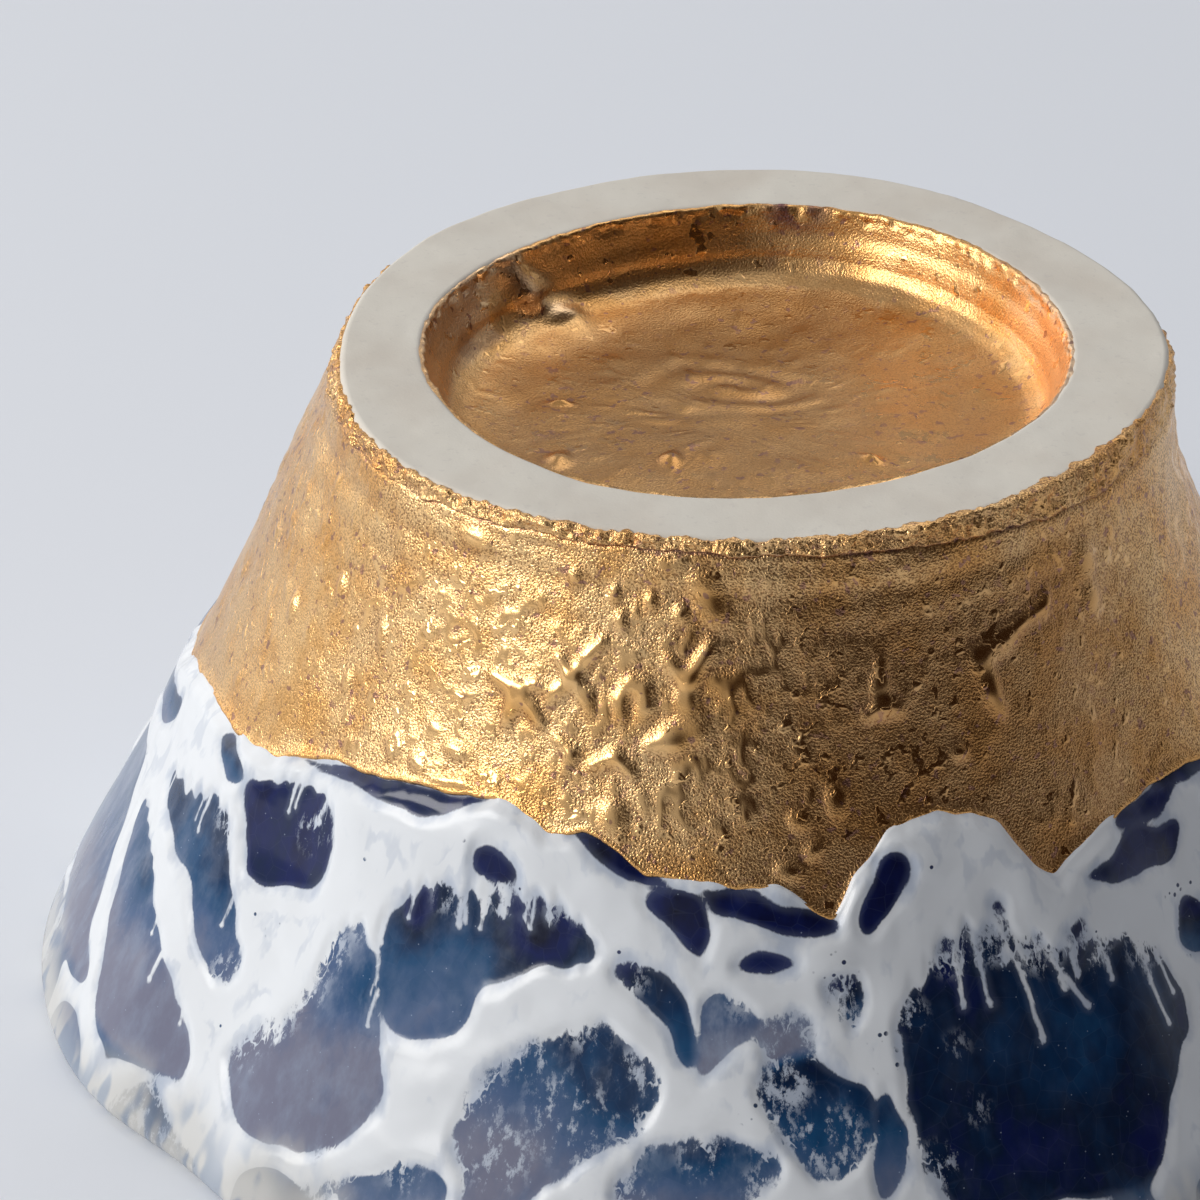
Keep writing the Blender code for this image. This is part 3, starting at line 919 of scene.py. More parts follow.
# %% Windows in the foam
# Each window: tint (0 near black, 0.5 cobalt, 1 grey mauve), haze, threads, (turn, height) corners
WINDOWS = (
    (0.60, 0.30, 0, ((-99, 14.6), (-90, 16.4), (-82, 16.9), (-85, 15.2))),
    (0.85, 0.60, 0, ((-104, 12.0), (-90, 12.6), (-83, 10.0), (-77, 6.0), (-72, 3.2), (-76, 2.2),
        (-90, 4.0), (-104, 5.6))),
    (0.45, 0.20, 0, ((-69, 18.7), (-65, 19.2), (-61.5, 18.2), (-64, 17.6))),
    (0.58, 0.25, 5, ((-76, 14.3), (-67, 15.7), (-63, 16.4), (-60, 14.5), (-57, 12.4), (-53, 10.4),
        (-55, 8.8), (-59, 9.8), (-65, 12.3))),
    (0.95, 0.50, 3, ((-80, 12.1), (-72, 11.5), (-65, 9.2), (-55, 5.2), (-58, 2.9), (-67, 3.0),
        (-77, 9.6))),
    (0.16, 0.00, 0, ((-56, 20.4), (-39, 22.3), (-27, 23.1), (-31, 21.8), (-38, 21.1), (-46, 20.7))),
    (0.16, 0.00, 3, ((-61, 17.7), (-58, 18.8), (-53, 19.3), (-48, 19.3), (-45.5, 18.0), (-46, 16.0),
        (-50, 14.6), (-56, 14.4))),
    (0.12, 0.00, 0, ((-27.5, 20.3), (-25, 20.8), (-22.5, 20.3), (-23, 19.5), (-26, 19.4))),
    (0.52, 0.14, 12, ((-36, 16.3), (-33, 17.9), (-26, 18.5), (-17, 19.0), (-13.5, 16.9), (-19, 16.1),
        (-23, 14.6), (-25, 12.5), (-28, 11.4), (-32, 11.2), (-35, 13.4))),
    (0.88, 0.55, 4, ((-42, 14.1), (-39, 15.3), (-36, 14.0), (-33, 10.8), (-32, 8.2), (-34, 6.0),
        (-38, 4.6), (-44, 4.1), (-49, 5.2), (-49, 7.0), (-44, 10.3))),
    (0.66, 0.20, 0, ((-17, 12.8), (-12, 13.8), (-8, 12.5), (-6, 11.2), (-8, 9.3), (-13, 7.2), (-17, 5.6),
        (-22, 5.0), (-24, 8.0), (-22, 10.6))),
    (0.10, 0.00, 0, ((-17, 22.4), (-12, 22.1), (-8, 21.0), (-6, 20.5), (-9, 20.4), (-14, 21.1))),
    (0.40, 0.00, 0, ((-12, 16.5), (-7, 16.8), (-4, 15.0), (-2.6, 12.6), (-4.4, 12.8), (-7, 14.8))),
    (0.85, 0.90, 0, ((-2, 15.3), (0, 15.6), (3, 14.5), (1, 13.0), (-2, 11.8), (-2.6, 14.0))),
    (0.12, 0.00, 0, ((-9, 19.6), (-6, 20.2), (-3, 19.8), (-2, 18.7), (-3.2, 17.4), (-6, 18.2))),
    (0.06, 0.00, 0, ((-3, 20.3), (3, 20.2), (8, 19.1), (11, 18.6), (8, 18.0), (4, 18.7), (-1, 19.4))),
    (0.15, 0.00, 0, ((0.5, 17.1), (3, 17.7), (7, 17.1), (4, 16.7))),
    (0.10, 0.00, 0, ((13, 18.4), (14.6, 20.3), (17, 21.4), (19, 20.8), (18, 19.5), (15, 18.2))),
    (0.14, 0.00, 0, ((38, 18.0), (43, 18.6), (50, 18.6), (54.5, 18.2), (53, 16.8), (49, 16.6),
        (42, 17.4))),
    (0.15, 0.00, 0, ((44, 19.1), (49, 20.0), (56, 20.4), (62, 20.2), (63, 19.4), (56, 19.4),
        (49, 18.9))),
    (0.10, 0.00, 0, ((27.2, 18.2), (28, 18.8), (28.9, 18.2), (28, 17.5))),
    (0.10, 0.00, 0, ((34.6, 16.2), (36, 16.5), (37.4, 16.1), (36, 15.6))),
    (0.25, 0.04, 10, ((16.5, 13.9), (20, 16.0), (24, 17.3), (28, 16.8), (33, 15.7), (39, 14.8),
        (44, 14.2), (47, 12.2), (47.5, 9.4), (44, 8.1), (41, 6.0), (38, 4.0), (30, 4.2), (19, 5.6),
        (16.5, 9.3))),
    (0.30, 0.00, 0, ((51, 14.3), (54, 14.2), (54, 12.0), (50.5, 12.5))),
    (0.45, 0.10, 0, ((3, 11.9), (7, 13.2), (10, 12.0), (13, 10.8), (12.5, 8.9), (9, 7.3), (6, 8.5),
        (4, 10.3))),
    (0.45, 0.10, 0, ((9.6, 15.8), (12, 16.0), (12.4, 14.6), (11, 13.8))),
    (0.95, 1.00, 0, ((2, 14.2), (5, 14.8), (8.4, 13.9), (8, 12.8), (4, 12.9))),
    (0.62, 0.10, 0, ((13.8, 11.0), (15.6, 9.6), (15.2, 7.2), (13, 6.0), (12.4, 8.0))),
    (0.70, 0.30, 0, ((-7, 8.5), (-2, 9.1), (4, 8.3), (3, 6.3), (-2, 5.2), (-9, 6.1))),
    (0.80, 0.30, 0, ((-38, 2.4), (-33, 4.2), (-27, 5.8), (-24, 4.8), (-29, 2.6))),
    (0.70, 0.20, 0, ((56, 12.0), (64, 12.5), (66, 8.0), (60, 5.6), (54, 7.5))),
    (0.20, 0.00, 0, ((59, 18.3), (65, 18.6), (68, 16.8), (62, 16.2))))

# Where the foam is lacy: (turn, height, reach in mm, spray in mm)
LACE = (
    (-48.5, 7.4, 1.3, 0.45), (-46.5, 9.6, 1.6, 0.62), (-44, 11.6, 1.5, 0.60), (-41.5, 13.6, 1.2, 0.42),
    (-39, 15.2, 0.9, 0.30), (-30, 18.0, 1.0, 0.26), (-24, 18.6, 1.0, 0.22), (-17, 18.9, 1.2, 0.26),
    (-50, 17.6, 1.0, 0.40), (-47, 18.6, 0.9, 0.30), (-62, 15.8, 1.2, 0.30), (-55, 9.6, 1.2, 0.30),
    (-23, 10.2, 1.5, 0.55), (-19, 12.4, 1.4, 0.55), (-13, 13.6, 1.2, 0.40), (-8, 12.0, 1.2, 0.45),
    (-20, 7.4, 1.8, 0.45), (-14, 9.6, 2.2, 0.42), (-8, 9.4, 1.4, 0.35), (-9, 16.0, 0.9, 0.25),
    (6, 13.8, 1.3, 0.55), (11, 15.4, 0.9, 0.55), (11, 14.0, 0.8, 0.45), (5, 11.6, 1.3, 0.50),
    (9, 9.0, 1.6, 0.50), (4, 9.4, 1.2, 0.45), (17.5, 14.2, 1.0, 0.30), (22, 16.6, 1.1, 0.42),
    (27, 16.8, 1.2, 0.50), (32, 15.9, 1.3, 0.55), (38, 15.0, 1.2, 0.40), (44, 13.8, 1.2, 0.42),
    (18, 7.2, 1.3, 0.35), (-2, 8.6, 1.3, 0.40), (3, 7.0, 1.2, 0.35), (-8, 6.6, 1.2, 0.35),
    (-35, 4.0, 1.4, 0.45), (21.5, 12.4, 1.0, 0.20), (22.5, 9.4, 1.1, 0.20), (-28, 5.6, 1.2, 0.35),
    (1, 15.0, 0.9, 0.20), (60, 11.6, 1.6, 0.40))
PLAIN_SPRAY = 0.035
# Where the glass changes tone: (turn, height, reach in mm, change of tint)
TONES = (
    (33, 11.4, 3.0, 0.20), (26, 12.5, 2.2, 0.12), (41, 12.4, 2.2, 0.12), (30, 5.6, 3.0, 0.03),
    (-27, 14.8, 1.8, 0.10), (-36, 12.6, 1.4, -0.20), (-19, 17.6, 2.2, -0.35), (-33, 17.2, 1.6, -0.25),
    (-72, 11.0, 2.4, -0.30), (-60, 13.0, 2.0, -0.10), (-9, 10.5, 2.0, -0.25), (-20, 7.5, 2.5, 0.25))
# Drips of foam that hang into the large window: start, end and radius in mm
DRIPS = (
    ((23, 17.3), (22.6, 14.1), 0.13), ((25, 17.3), (25.6, 13.9), 0.10), ((28, 16.9), (30.3, 11.7), 0.12),
    ((31, 16.2), (35.5, 12.5), 0.14), ((32, 15.9), (33.5, 13.6), 0.10),
    ((38.6, 15.2), (39.3, 13.2), 0.12), ((43.5, 14.4), (44.3, 9.9), 0.12),
    ((45.8, 13.4), (46.4, 11.0), 0.12))
PORES = (
    (14.6, 12.3, 0.8), (13.8, 13.6, 0.7), (51.5, 12.8, 1.2), (50.5, 15.2, 0.8), (6.3, 12.9, 0.35),
    (29, 17.5, 0.5), (-50, 12.6, 0.8), (-41, 17.8, 0.6), (2, 10.4, 0.7), (-28, 20.6, 0.5),
    (10.4, 16.4, 1.2), (-5, 5.0, 0.8))

print(len(WINDOWS), "windows,", len(LACE), "lacy places and", len(DRIPS), "drips")


def inside_depth(across, down, corners):
    """Distance in mm from a closed outline, over 0 inside it."""
    nearest = np.full(np.broadcast(across, down).shape, 99.0)
    inside = np.zeros(nearest.shape, bool)
    for (from_x, from_y), (to_x, to_y) in zip(corners, corners[1:] + corners[:1]):
        run_x, run_y = to_x - from_x, to_y - from_y
        share = ((across - from_x) * run_x + (down - from_y) * run_y) / (run_x ** 2 + run_y ** 2)
        share = np.clip(share, 0, 1)
        gap = np.hypot(across - from_x - share * run_x, down - from_y - share * run_y)
        nearest = np.minimum(nearest, gap)
        if run_y:
            inside ^= ((from_y > down) != (to_y > down)) & (across < from_x + (down - from_y) / run_y * run_x)
    return np.where(inside, nearest, -nearest)


def rounded(corners, steps=5):
    """Smooth closed outline through a few corners."""
    outline = []
    count = len(corners)
    for number in range(count):
        before, start, end, after = (np.array(corners[(number + step) % count]) for step in (-1, 0, 1, 2))
        for share in np.arange(steps) / steps:
            bend = 2 * before - 5 * start + 4 * end - after
            turn = 3 * (start - end) + after - before
            outline.append(tuple(start + 0.5 * share * ((end - before) + share * (bend + share * turn))))
    return outline


def top_edge(corners, at):
    """Smallest length at which a line straight down crosses an outline."""
    crossings = []
    for (from_x, from_y), (to_x, to_y) in zip(corners, corners[1:] + corners[:1]):
        if (from_x > at) != (to_x > at):
            crossings.append(from_y + (at - from_x) / (to_x - from_x) * (to_y - from_y))
    return min(crossings) if crossings else None


# %% [markdown]
# On the sides that the picture doesn't show, the web is grown by a rule: seeds are strewn over the wall,
# each claims the ground nearest to it, and the foam runs along the borders between two claims. The same
# rule fills the ground near the lip and the inside of the bowl.

# %% A grown web of foam
def strewn(random, count, apart, make_place):
    """Seeded places at least a given distance apart."""
    kept = []
    for _ in range(count * 12):
        place = make_place(random)
        if all(np.linalg.norm(place - other) > apart for other in kept):
            kept.append(place)
        if len(kept) == count:
            break
    return np.array(kept)


def grown_web(places, seeds, strand, seed):
    """Glass value of a web, and the number of the seed that claims each point."""
    drift = np.stack([uneven(places, 4.5, seed + axis, 2) for axis in range(3)], -1)
    places = places + 0.9 * drift
    pull = np.random.default_rng(seed).uniform(0, 1.6, len(seeds))
    first = np.full(places.shape[:2], 99.0)
    second = first.copy()
    claimed = np.zeros(places.shape[:2], int)
    for number, spot in enumerate(seeds):
        gap = np.linalg.norm(places - spot, axis=-1) - pull[number]
        claimed = np.where(gap < first, number, claimed)
        second = np.where(gap < first, first, np.minimum(second, gap))
        first = np.minimum(first, gap)
    width = strand * (1 + 0.75 * uneven(places, 5.0, seed + 7, 2))
    return (second - first) / 2 - width / 2, claimed


# %% [markdown]
# The glaze is thickest in a roll just under the dip line, and thins to almost nothing at the lip. Foam
# stands a little prouder than glass, because it was too stiff to level out.

# %% Sea glaze on the wall
GLAZE_SEED = 5
ROLL = 0.34
FOAM_RELIEF = 0.15
GLAZE_UNDER_GOLD = 0.8
SCALLOP = 0.75
SCALLOP_WIDTH = 1.25
WEB_STRAND = 1.5
WEB_SEEDS = 110
FADE = 0.45
FADE_MIDDLE = 0.45
LACE_STRENGTH = 1.8
GLASS_LIMIT = 2.0
UNSEEN_RIGHT = (66, 73)
UNSEEN_LEFT = (-92, -100)
NEAR_LIP = (4.4, 2.4)
STREAKED = np.array((1, 1, 0.16))
GLAZE_THICKNESS = 0.09
GLAZE_WAVER = 0.10
GLAZE_SINK = 0.42

glaze_turns = column_turns(648, 312)
glaze_dip = dip_at(glaze_turns)
near_dip = np.array((-GLAZE_UNDER_GOLD, -0.45, -0.22, -0.08, 0.04, 0.16, 0.30, 0.46))[:, None] + glaze_dip
glaze_end = wall.along[-1] - 0.02
lip_rows = (glaze_end - np.array((1.9, 1.55, 1.25, 1.0, 0.75, 0.5, 0.25, 0.0)))[:, None] + 0 * glaze_dip
between = np.linspace(0, 1, 84)[1:-1, None]
glaze_lengths = np.concatenate((near_dip, near_dip[-1] + between * (lip_rows[0] - near_dip[-1]), lip_rows))
glaze_base = wall.place(glaze_lengths, glaze_turns)
heights_on_wall = glaze_base[..., 2]

# %% [markdown]
# Each window is laid on the wall as a smooth outline. Noise pushes its edge in and out, and scallops
# hang from the top of those that have threads. A thread is a thin drip of foam that runs down
# from the upper edge into the glass.

# %% Windows laid on the wall
random = np.random.default_rng(GLAZE_SEED)
drift_across = 0.26 * uneven(glaze_base, 2.1, 51, 2)
drift_down = 0.26 * uneven(glaze_base, 2.1, 52, 2)
glass = np.full(glaze_lengths.shape, -GLASS_LIMIT)
tint = np.full(glaze_lengths.shape, 0.5)
haze = np.zeros(glaze_lengths.shape)
spray = np.full(glaze_lengths.shape, PLAIN_SPRAY)
threads = []
for window_tint, window_haze, thread_count, corners in WINDOWS:
    corner_turns, corner_heights = np.array(corners, float).T
    middle = corner_turns.mean()
    corner_lengths = wall.length_at(corner_heights)
    radius = wall.radius_at(corner_lengths.mean())
    outline = rounded(list(zip(np.radians(corner_turns - middle) * radius, corner_lengths)))
    off = np.radians((glaze_turns - middle + 180) % 360 - 180) * radius
    reach = max(abs(x) for x, _ in outline) + 2.2
    near = np.nonzero(np.abs(off) < reach)[0]
    upper_part = ease(corner_lengths.mean(), corner_lengths.min(), glaze_lengths[:, near])
    lobe = np.abs(np.sin((off[near] + 1.5 * drift_down[:, near]) * math.pi / SCALLOP_WIDTH)) - 0.6
    scallop = min(thread_count, 6) / 6 * SCALLOP * lobe * upper_part
    across, down = off[near] + drift_across[:, near], glaze_lengths[:, near] + drift_down[:, near] + scallop
    depth = inside_depth(across, down, outline)
    closer = depth > glass[:, near]
    glass[:, near] = np.maximum(glass[:, near], depth)
    fade = ease(corner_lengths.min(), corner_lengths.max(), glaze_lengths[:, near]) - FADE_MIDDLE
    faded = window_tint + FADE * fade * (window_tint > 0.25)
    for field, value in ((tint, faded), (haze, window_haze)):
        field[:, near] = np.where(closer & (depth > -1.5), value, field[:, near])
    for _ in range(thread_count):
        at = random.uniform(min(x for x, _ in outline), max(x for x, _ in outline))
        top = top_edge(outline, at)
        hang = random.uniform(0.5, 1.7)
        turn = middle + math.degrees(at / radius)
        end_turn = turn + random.uniform(-0.6, 0.6)
        threads.append(((turn, top - 0.3), (end_turn, top + hang), random.uniform(0.06, 0.12)))
threads += [((a, wall.length_at(za)), (b, wall.length_at(zb)), r) for (a, za), (b, zb), r in DRIPS]

# %% [markdown]
# Where nothing fixes the layout, the grown web takes over smoothly. Then the threads are drawn as
# foam, and tone and spray change round a few spots.

# %% Web, threads and tones
web_seeds = strewn(
    random, WEB_SEEDS, 4.8, lambda r: wall.place(r.uniform(wall.length_at(21), glaze_end), r.uniform(0, 360)))
web_glass, claimed = grown_web(glaze_base, web_seeds, WEB_STRAND, 60)
print(len(threads), "threads, and", len(web_seeds), "seeds in the grown web")
around = (glaze_turns + 180) % 360 - 180
unseen = np.maximum(ease(*UNSEEN_RIGHT, around), ease(*UNSEEN_LEFT, around))[None, :]
unseen = np.maximum(unseen, ease(*NEAR_LIP, heights_on_wall))
seed_tints = random.uniform(0.3, 0.95, len(web_seeds))
glass = (1 - unseen) * glass + unseen * np.clip(web_glass, -GLASS_LIMIT, GLASS_LIMIT)
tint = (1 - unseen) * tint + unseen * seed_tints[claimed]
haze = (1 - unseen) * haze + unseen * 0.25
spray = (1 - unseen) * spray + unseen * 0.45 * ease(0.0, 0.9, uneven(glaze_base, 4.0, 57))
glass = soften(glass, 2)
for (turn, top), (end_turn, end), radius in threads:
    at_radius = wall.radius_at(top)
    near = np.nonzero(np.abs((glaze_turns - turn + 180) % 360 - 180) < 8)[0]
    across = np.radians(glaze_turns[near] - turn) * at_radius + 0.6 * drift_across[:, near]
    run_x, run_y = math.radians(end_turn - turn) * at_radius, end - top
    down = glaze_lengths[:, near] - top
    share = np.clip((across * run_x + down * run_y) / (run_x ** 2 + run_y ** 2), 0, 1)
    gap = np.hypot(across - share * run_x, down - share * run_y)
    thick = radius * (1.25 - 0.5 * share) + 0.09 * ease(0.88, 1.0, share)
    glass[:, near] = np.minimum(glass[:, near], gap - thick)


def near_spot(turn, height, reach):
    """1 at a spot on the wall, fading away over reach mm."""
    spot = wall.place(wall.length_at(height), turn)
    return hump(np.linalg.norm(glaze_base - spot, axis=-1), reach)


for turn, height, reach, change in TONES:
    tint = tint + change * near_spot(turn, height, reach)
for turn, height, reach, amount in LACE:
    spray = np.maximum(spray, LACE_STRENGTH * amount * near_spot(turn, height, reach))
tint = soften(tint, 3)
haze = soften(haze, 4)
spray = soften(spray, 2)

pores = np.zeros(glaze_lengths.shape)
for spot in PORES:
    pores = np.maximum(pores, near_spot(*spot))
# %% [markdown]
# The roll under the dip line, the swell of the foam and a slow waviness make the glaze's height.

# %% Height of the glaze
below_dip = glaze_lengths - glaze_dip
to_lip = ease(glaze_end - 1.0, glaze_end - 6.0, glaze_lengths)
roll = ROLL * in_and_out(below_dip, -0.25, 0.9, 1.6, 6.5)
foam_swell = FOAM_RELIEF * ease(0.06, -0.60, glass)
foam_swell += 0.05 * uneven(glaze_base, 1.6, 53) * ease(0.1, -0.5, glass)
glaze_height = GLAZE_THICKNESS + roll + to_lip * (foam_swell + GLAZE_WAVER * uneven(glaze_base, 5.0, 54))
glaze_height = glaze_height * ease(glaze_end - 0.6, glaze_end - 4.0, glaze_lengths) - 0.01
glaze_height = glaze_height - GLAZE_SINK * ease(-0.12, -0.6, below_dip)
thin_glaze = ease(4.6, 1.0, heights_on_wall + 0.8 * uneven(glaze_base, 3.0, 55, 2))
streaks = uneven(glaze_base * STREAKED, 0.9, 56, 2)
lip_end = np.full(len(glaze_turns), glaze_end)
glaze_under = np.stack((
    lip_end - 0.4, lip_end - 3.0, (glaze_dip + glaze_end) / 2, glaze_dip - GLAZE_UNDER_GOLD + 0.1))
under_places = sunk(wall.place(glaze_under, glaze_turns), HIDDEN_DEPTH)
glaze_points = np.concatenate((raised(glaze_base, glaze_height), under_places))
glaze_points[..., 2] = np.maximum(glaze_points[..., 2], 0.0)
glaze_values = {
    "glass": glass, "tint": tint, "haze": haze, "spray": spray, "pores": pores,
    "thin": thin_glaze, "streak": streaks}
sea_glaze = closed_piece("sea_glaze_wall", glaze_points, len(glaze_lengths), glaze_values)
belongs(sea_glaze)

# %% [markdown]
# ## The inside of the bowl
# Turned over, the bowl can't be seen, so it is finished plainly in the same glaze: wide windows, a thin
# web, and a deeper pool of blue in the middle, where a melting glaze gathers.

# %% Sea glaze in the bowl
BOWL_COLUMNS = 420
BOWL_SEEDS = 60
BOWL_STRAND = 1.4
BOWL_HIDDEN_ROWS = 8
bowl_turns = np.arange(BOWL_COLUMNS) * 360 / BOWL_COLUMNS
bowl_share = np.concatenate((np.linspace(0, 0.08, 10), np.linspace(0.09, 0.985, 96)))[:, None]
bowl_lengths = bowl_share * bowl.along[-1] + 0 * bowl_turns
bowl_base = bowl.place(bowl_lengths, bowl_turns)
bowl_seeds = strewn(
    random, BOWL_SEEDS, 7.0, lambda r: bowl.place(r.uniform(3, bowl.along[-1]), r.uniform(0, 360)))
bowl_glass, _ = grown_web(bowl_base, bowl_seeds, BOWL_STRAND, 80)
pool = ease(14, 3, np.hypot(bowl_base[..., 0], bowl_base[..., 1]))
bowl_glass = soften(np.clip(bowl_glass, -GLASS_LIMIT, GLASS_LIMIT), 2) + 0.8 * pool
bowl_height = 0.05 + 0.10 * ease(0.05, -0.5, bowl_glass) + 0.05 * uneven(bowl_base, 5.0, 81)
bowl_height = bowl_height * ease(0.6, 4.0, bowl_lengths) - 0.02
bowl_under = np.linspace(bowl.along[-1] * 0.97, 0.4, BOWL_HIDDEN_ROWS)[:, None] + 0 * bowl_turns
bowl_under_places = sunk(bowl.place(bowl_under, bowl_turns), HIDDEN_DEPTH)
# The mesh builder starts in the middle, so the hidden rows are walked from the middle to the lip last
bowl_points = np.concatenate((raised(bowl_base, bowl_height)[::-1], bowl_under_places[::-1]))
bowl_points = bowl_points[:, ::-1]
bowl_points[..., 2] = np.maximum(bowl_points[..., 2], 0.0)
bowl_map_share = np.concatenate((
    np.linspace(0.02, 1, len(bowl_lengths)), np.linspace(1, 0.02, BOWL_HIDDEN_ROWS)))
bowl_values = {
    "glass": bowl_glass, "tint": 0.55 - 0.4 * pool, "haze": 0.2 + 0 * pool, "spray": 0.35 + 0 * pool,
    "pores": 0 * pool, "thin": ease(4.0, 1.0, bowl_base[..., 2]),
    "streak": uneven(bowl_base * STREAKED, 0.9, 82, 2)}
bowl_values = {name: value[::-1, ::-1] for name, value in bowl_values.items()}
bowl_glaze = closed_piece("sea_glaze_bowl", bowl_points, len(bowl_lengths), bowl_values, True, bowl_map_share)
belongs(bowl_glaze)

# %% [markdown]
# ## How close the coats lie to the solid
# The coats may stand only a hair proud of the packed clay. This cell measures that against the solid.

# %% Measure the coats against the clay
MEASURE_EVERY = 37

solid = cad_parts["sake_cup"]
solid.data.calc_loop_triangles()
solid_tree = BVHTree.FromPolygons(
    [vertex.co[:] for vertex in solid.data.vertices],
    [triangle.vertices[:] for triangle in solid.data.loop_triangles])
for piece in (porcelain, gold_wall, gold_band, gold_recess, sea_glaze, bowl_glaze):
    gaps = []
    for number in range(0, len(piece.data.vertices), MEASURE_EVERY):
        gaps.append(solid_tree.find_nearest(piece.data.vertices[number].co)[3] / MM)
    print(piece.name, "lies at most", round(max(gaps), 2), "mm from the solid's surface")

# %% [markdown]
# ## Writing finishes
# A finish is a small network of nodes. This helper keeps a recipe short: every call adds one node and
# hands back its result, so a finish reads from top to bottom as the steps that a glaze chemist would name.

# %% A recipe for a finish
class Recipe:
    """Adds nodes to a new material, one call for each step."""

    def __init__(self, name):
        self.material = bpy.data.materials.new(name)
        self.material.use_nodes = True
        self.nodes = self.material.node_tree.nodes
        self.links = self.material.node_tree.links
        self.shader = self.nodes["Principled BSDF"]

    def fill(self, socket, value):
        if isinstance(value, bpy.types.NodeSocket):
            self.links.new(value, socket)
        else:
            socket.default_value = value

    def step(self, kind, inputs, output=0, **settings):
        node = self.nodes.new(kind)
        for name, value in settings.items():
            setattr(node, name, value)
        for name, value in inputs.items():
            self.fill(node.inputs[name], value)
        return node.outputs[output]

    def place(self, stretch=(1, 1, 1)):
        """Place on the cup, in mm."""
        at = self.step("ShaderNodeTexCoord", {}, "Object")
        scale = tuple(axis / MM for axis in stretch)
        return self.step("ShaderNodeMapping", {"Vector": at, "Scale": scale})

    def value(self, name):
        return self.step("ShaderNodeAttribute", {}, "Fac", attribute_name=name)

    def math(self, operation, first, second=0.0, third=0.0, clamp=False):
        return self.step(
            "ShaderNodeMath", {0: first, 1: second, 2: third}, operation=operation, use_clamp=clamp)

    def times(self, first, second, clamp=False):
        return self.math("MULTIPLY", first, second, clamp=clamp)

    def times_plus(self, value, factor, base, clamp=False):
        return self.math("MULTIPLY_ADD", value, factor, base, clamp)

    def less(self, first, second, clamp=False):
        return self.math("SUBTRACT", first, second, clamp=clamp)

    def most(self, first, second):
        return self.math("MAXIMUM", first, second)

    def ease(self, start, end, value, low=0.0, high=1.0):
        """Smooth step of a value, as the helper above does for grids."""
        inputs = {"Value": value, "From Min": start, "From Max": end, "To Min": low, "To Max": high}
        return self.step("ShaderNodeMapRange", inputs, interpolation_type="SMOOTHSTEP")

    def noise(self, place, size, detail=2.0, roughness=0.5):
        """Cloudy noise of 0 to 1 with blotches about size mm across."""
        inputs = {"Vector": place, "Scale": 1 / size, "Detail": detail, "Roughness": roughness}
        return self.step("ShaderNodeTexNoise", inputs)

    def cells(self, place, size, output="Distance", feature="F1"):
        """Cells about size mm across."""
        inputs = {"Vector": place, "Scale": 1 / size}
        return self.step("ShaderNodeTexVoronoi", inputs, output, feature=feature)

    def first_of(self, colour):
        """One random number for each cell, from its random colour."""
        return self.step("ShaderNodeSeparateColor", {"Color": colour}, "Red")

    def mix(self, share, first, second):
        inputs = {"Factor": share, 6: first, 7: second}
        return self.step("ShaderNodeMix", inputs, 2, data_type="RGBA", clamp_factor=True)

    def ramp(self, value, stops):
        """Colour along a value, through (value, colour) stops."""
        node = self.nodes.new("ShaderNodeValToRGB")
        while len(node.color_ramp.elements) < len(stops):
            node.color_ramp.elements.new(0.5)
        for element, (at, colour) in zip(node.color_ramp.elements, stops):
            element.position = at
            element.color = (*colour, 1)
        self.fill(node.inputs["Fac"], value)
        return node.outputs["Color"]

    def bump(self, height, depth_mm, strength=1.0, normal=None):
        inputs = {"Height": height, "Distance": depth_mm * MM, "Strength": strength}
        if normal is not None:
            inputs["Normal"] = normal
        return self.step("ShaderNodeBump", inputs)

    def finish(self, **sockets):
        for name, value in sockets.items():
            self.fill(self.shader.inputs[name.replace("_", " ")], value)
        return self.material


# %% [markdown]
# ## Gold lustre
# The film is real metal, a few microns thick, over a sandy ground: bright and broken into sparks where it
# is thin, smooth as a mirror on the drops. It turns orange along its edge and mauve where it burned thin.
# Its colour also holds painted shade in the low points of the sand, and a value on each coat that darkens
# the gold with painted shade where it is shaded and pales it with painted light where it is lit.

# %% Gold finish
GOLD = (0.95, 0.62, 0.29, 1)
GOLD_WARM = (0.84, 0.445, 0.145, 1)
GOLD_PIT_SHADE = (0.20, 0.075, 0.025, 1)
GOLD_PAINTED_SHADE = (0.36, 0.165, 0.055, 1)
GOLD_PAINTED_LIGHT = (0.97, 0.84, 0.66, 1)
GOLD_MAUVE = (0.36, 0.18, 0.125, 1)
GOLD_PURPLE = (0.16, 0.07, 0.09, 1)
ISLAND_SIZE = 0.80
SAND_SIZE = 0.11
MOTTLE_SIZE = 3.5
BURN_SIZE = 0.50


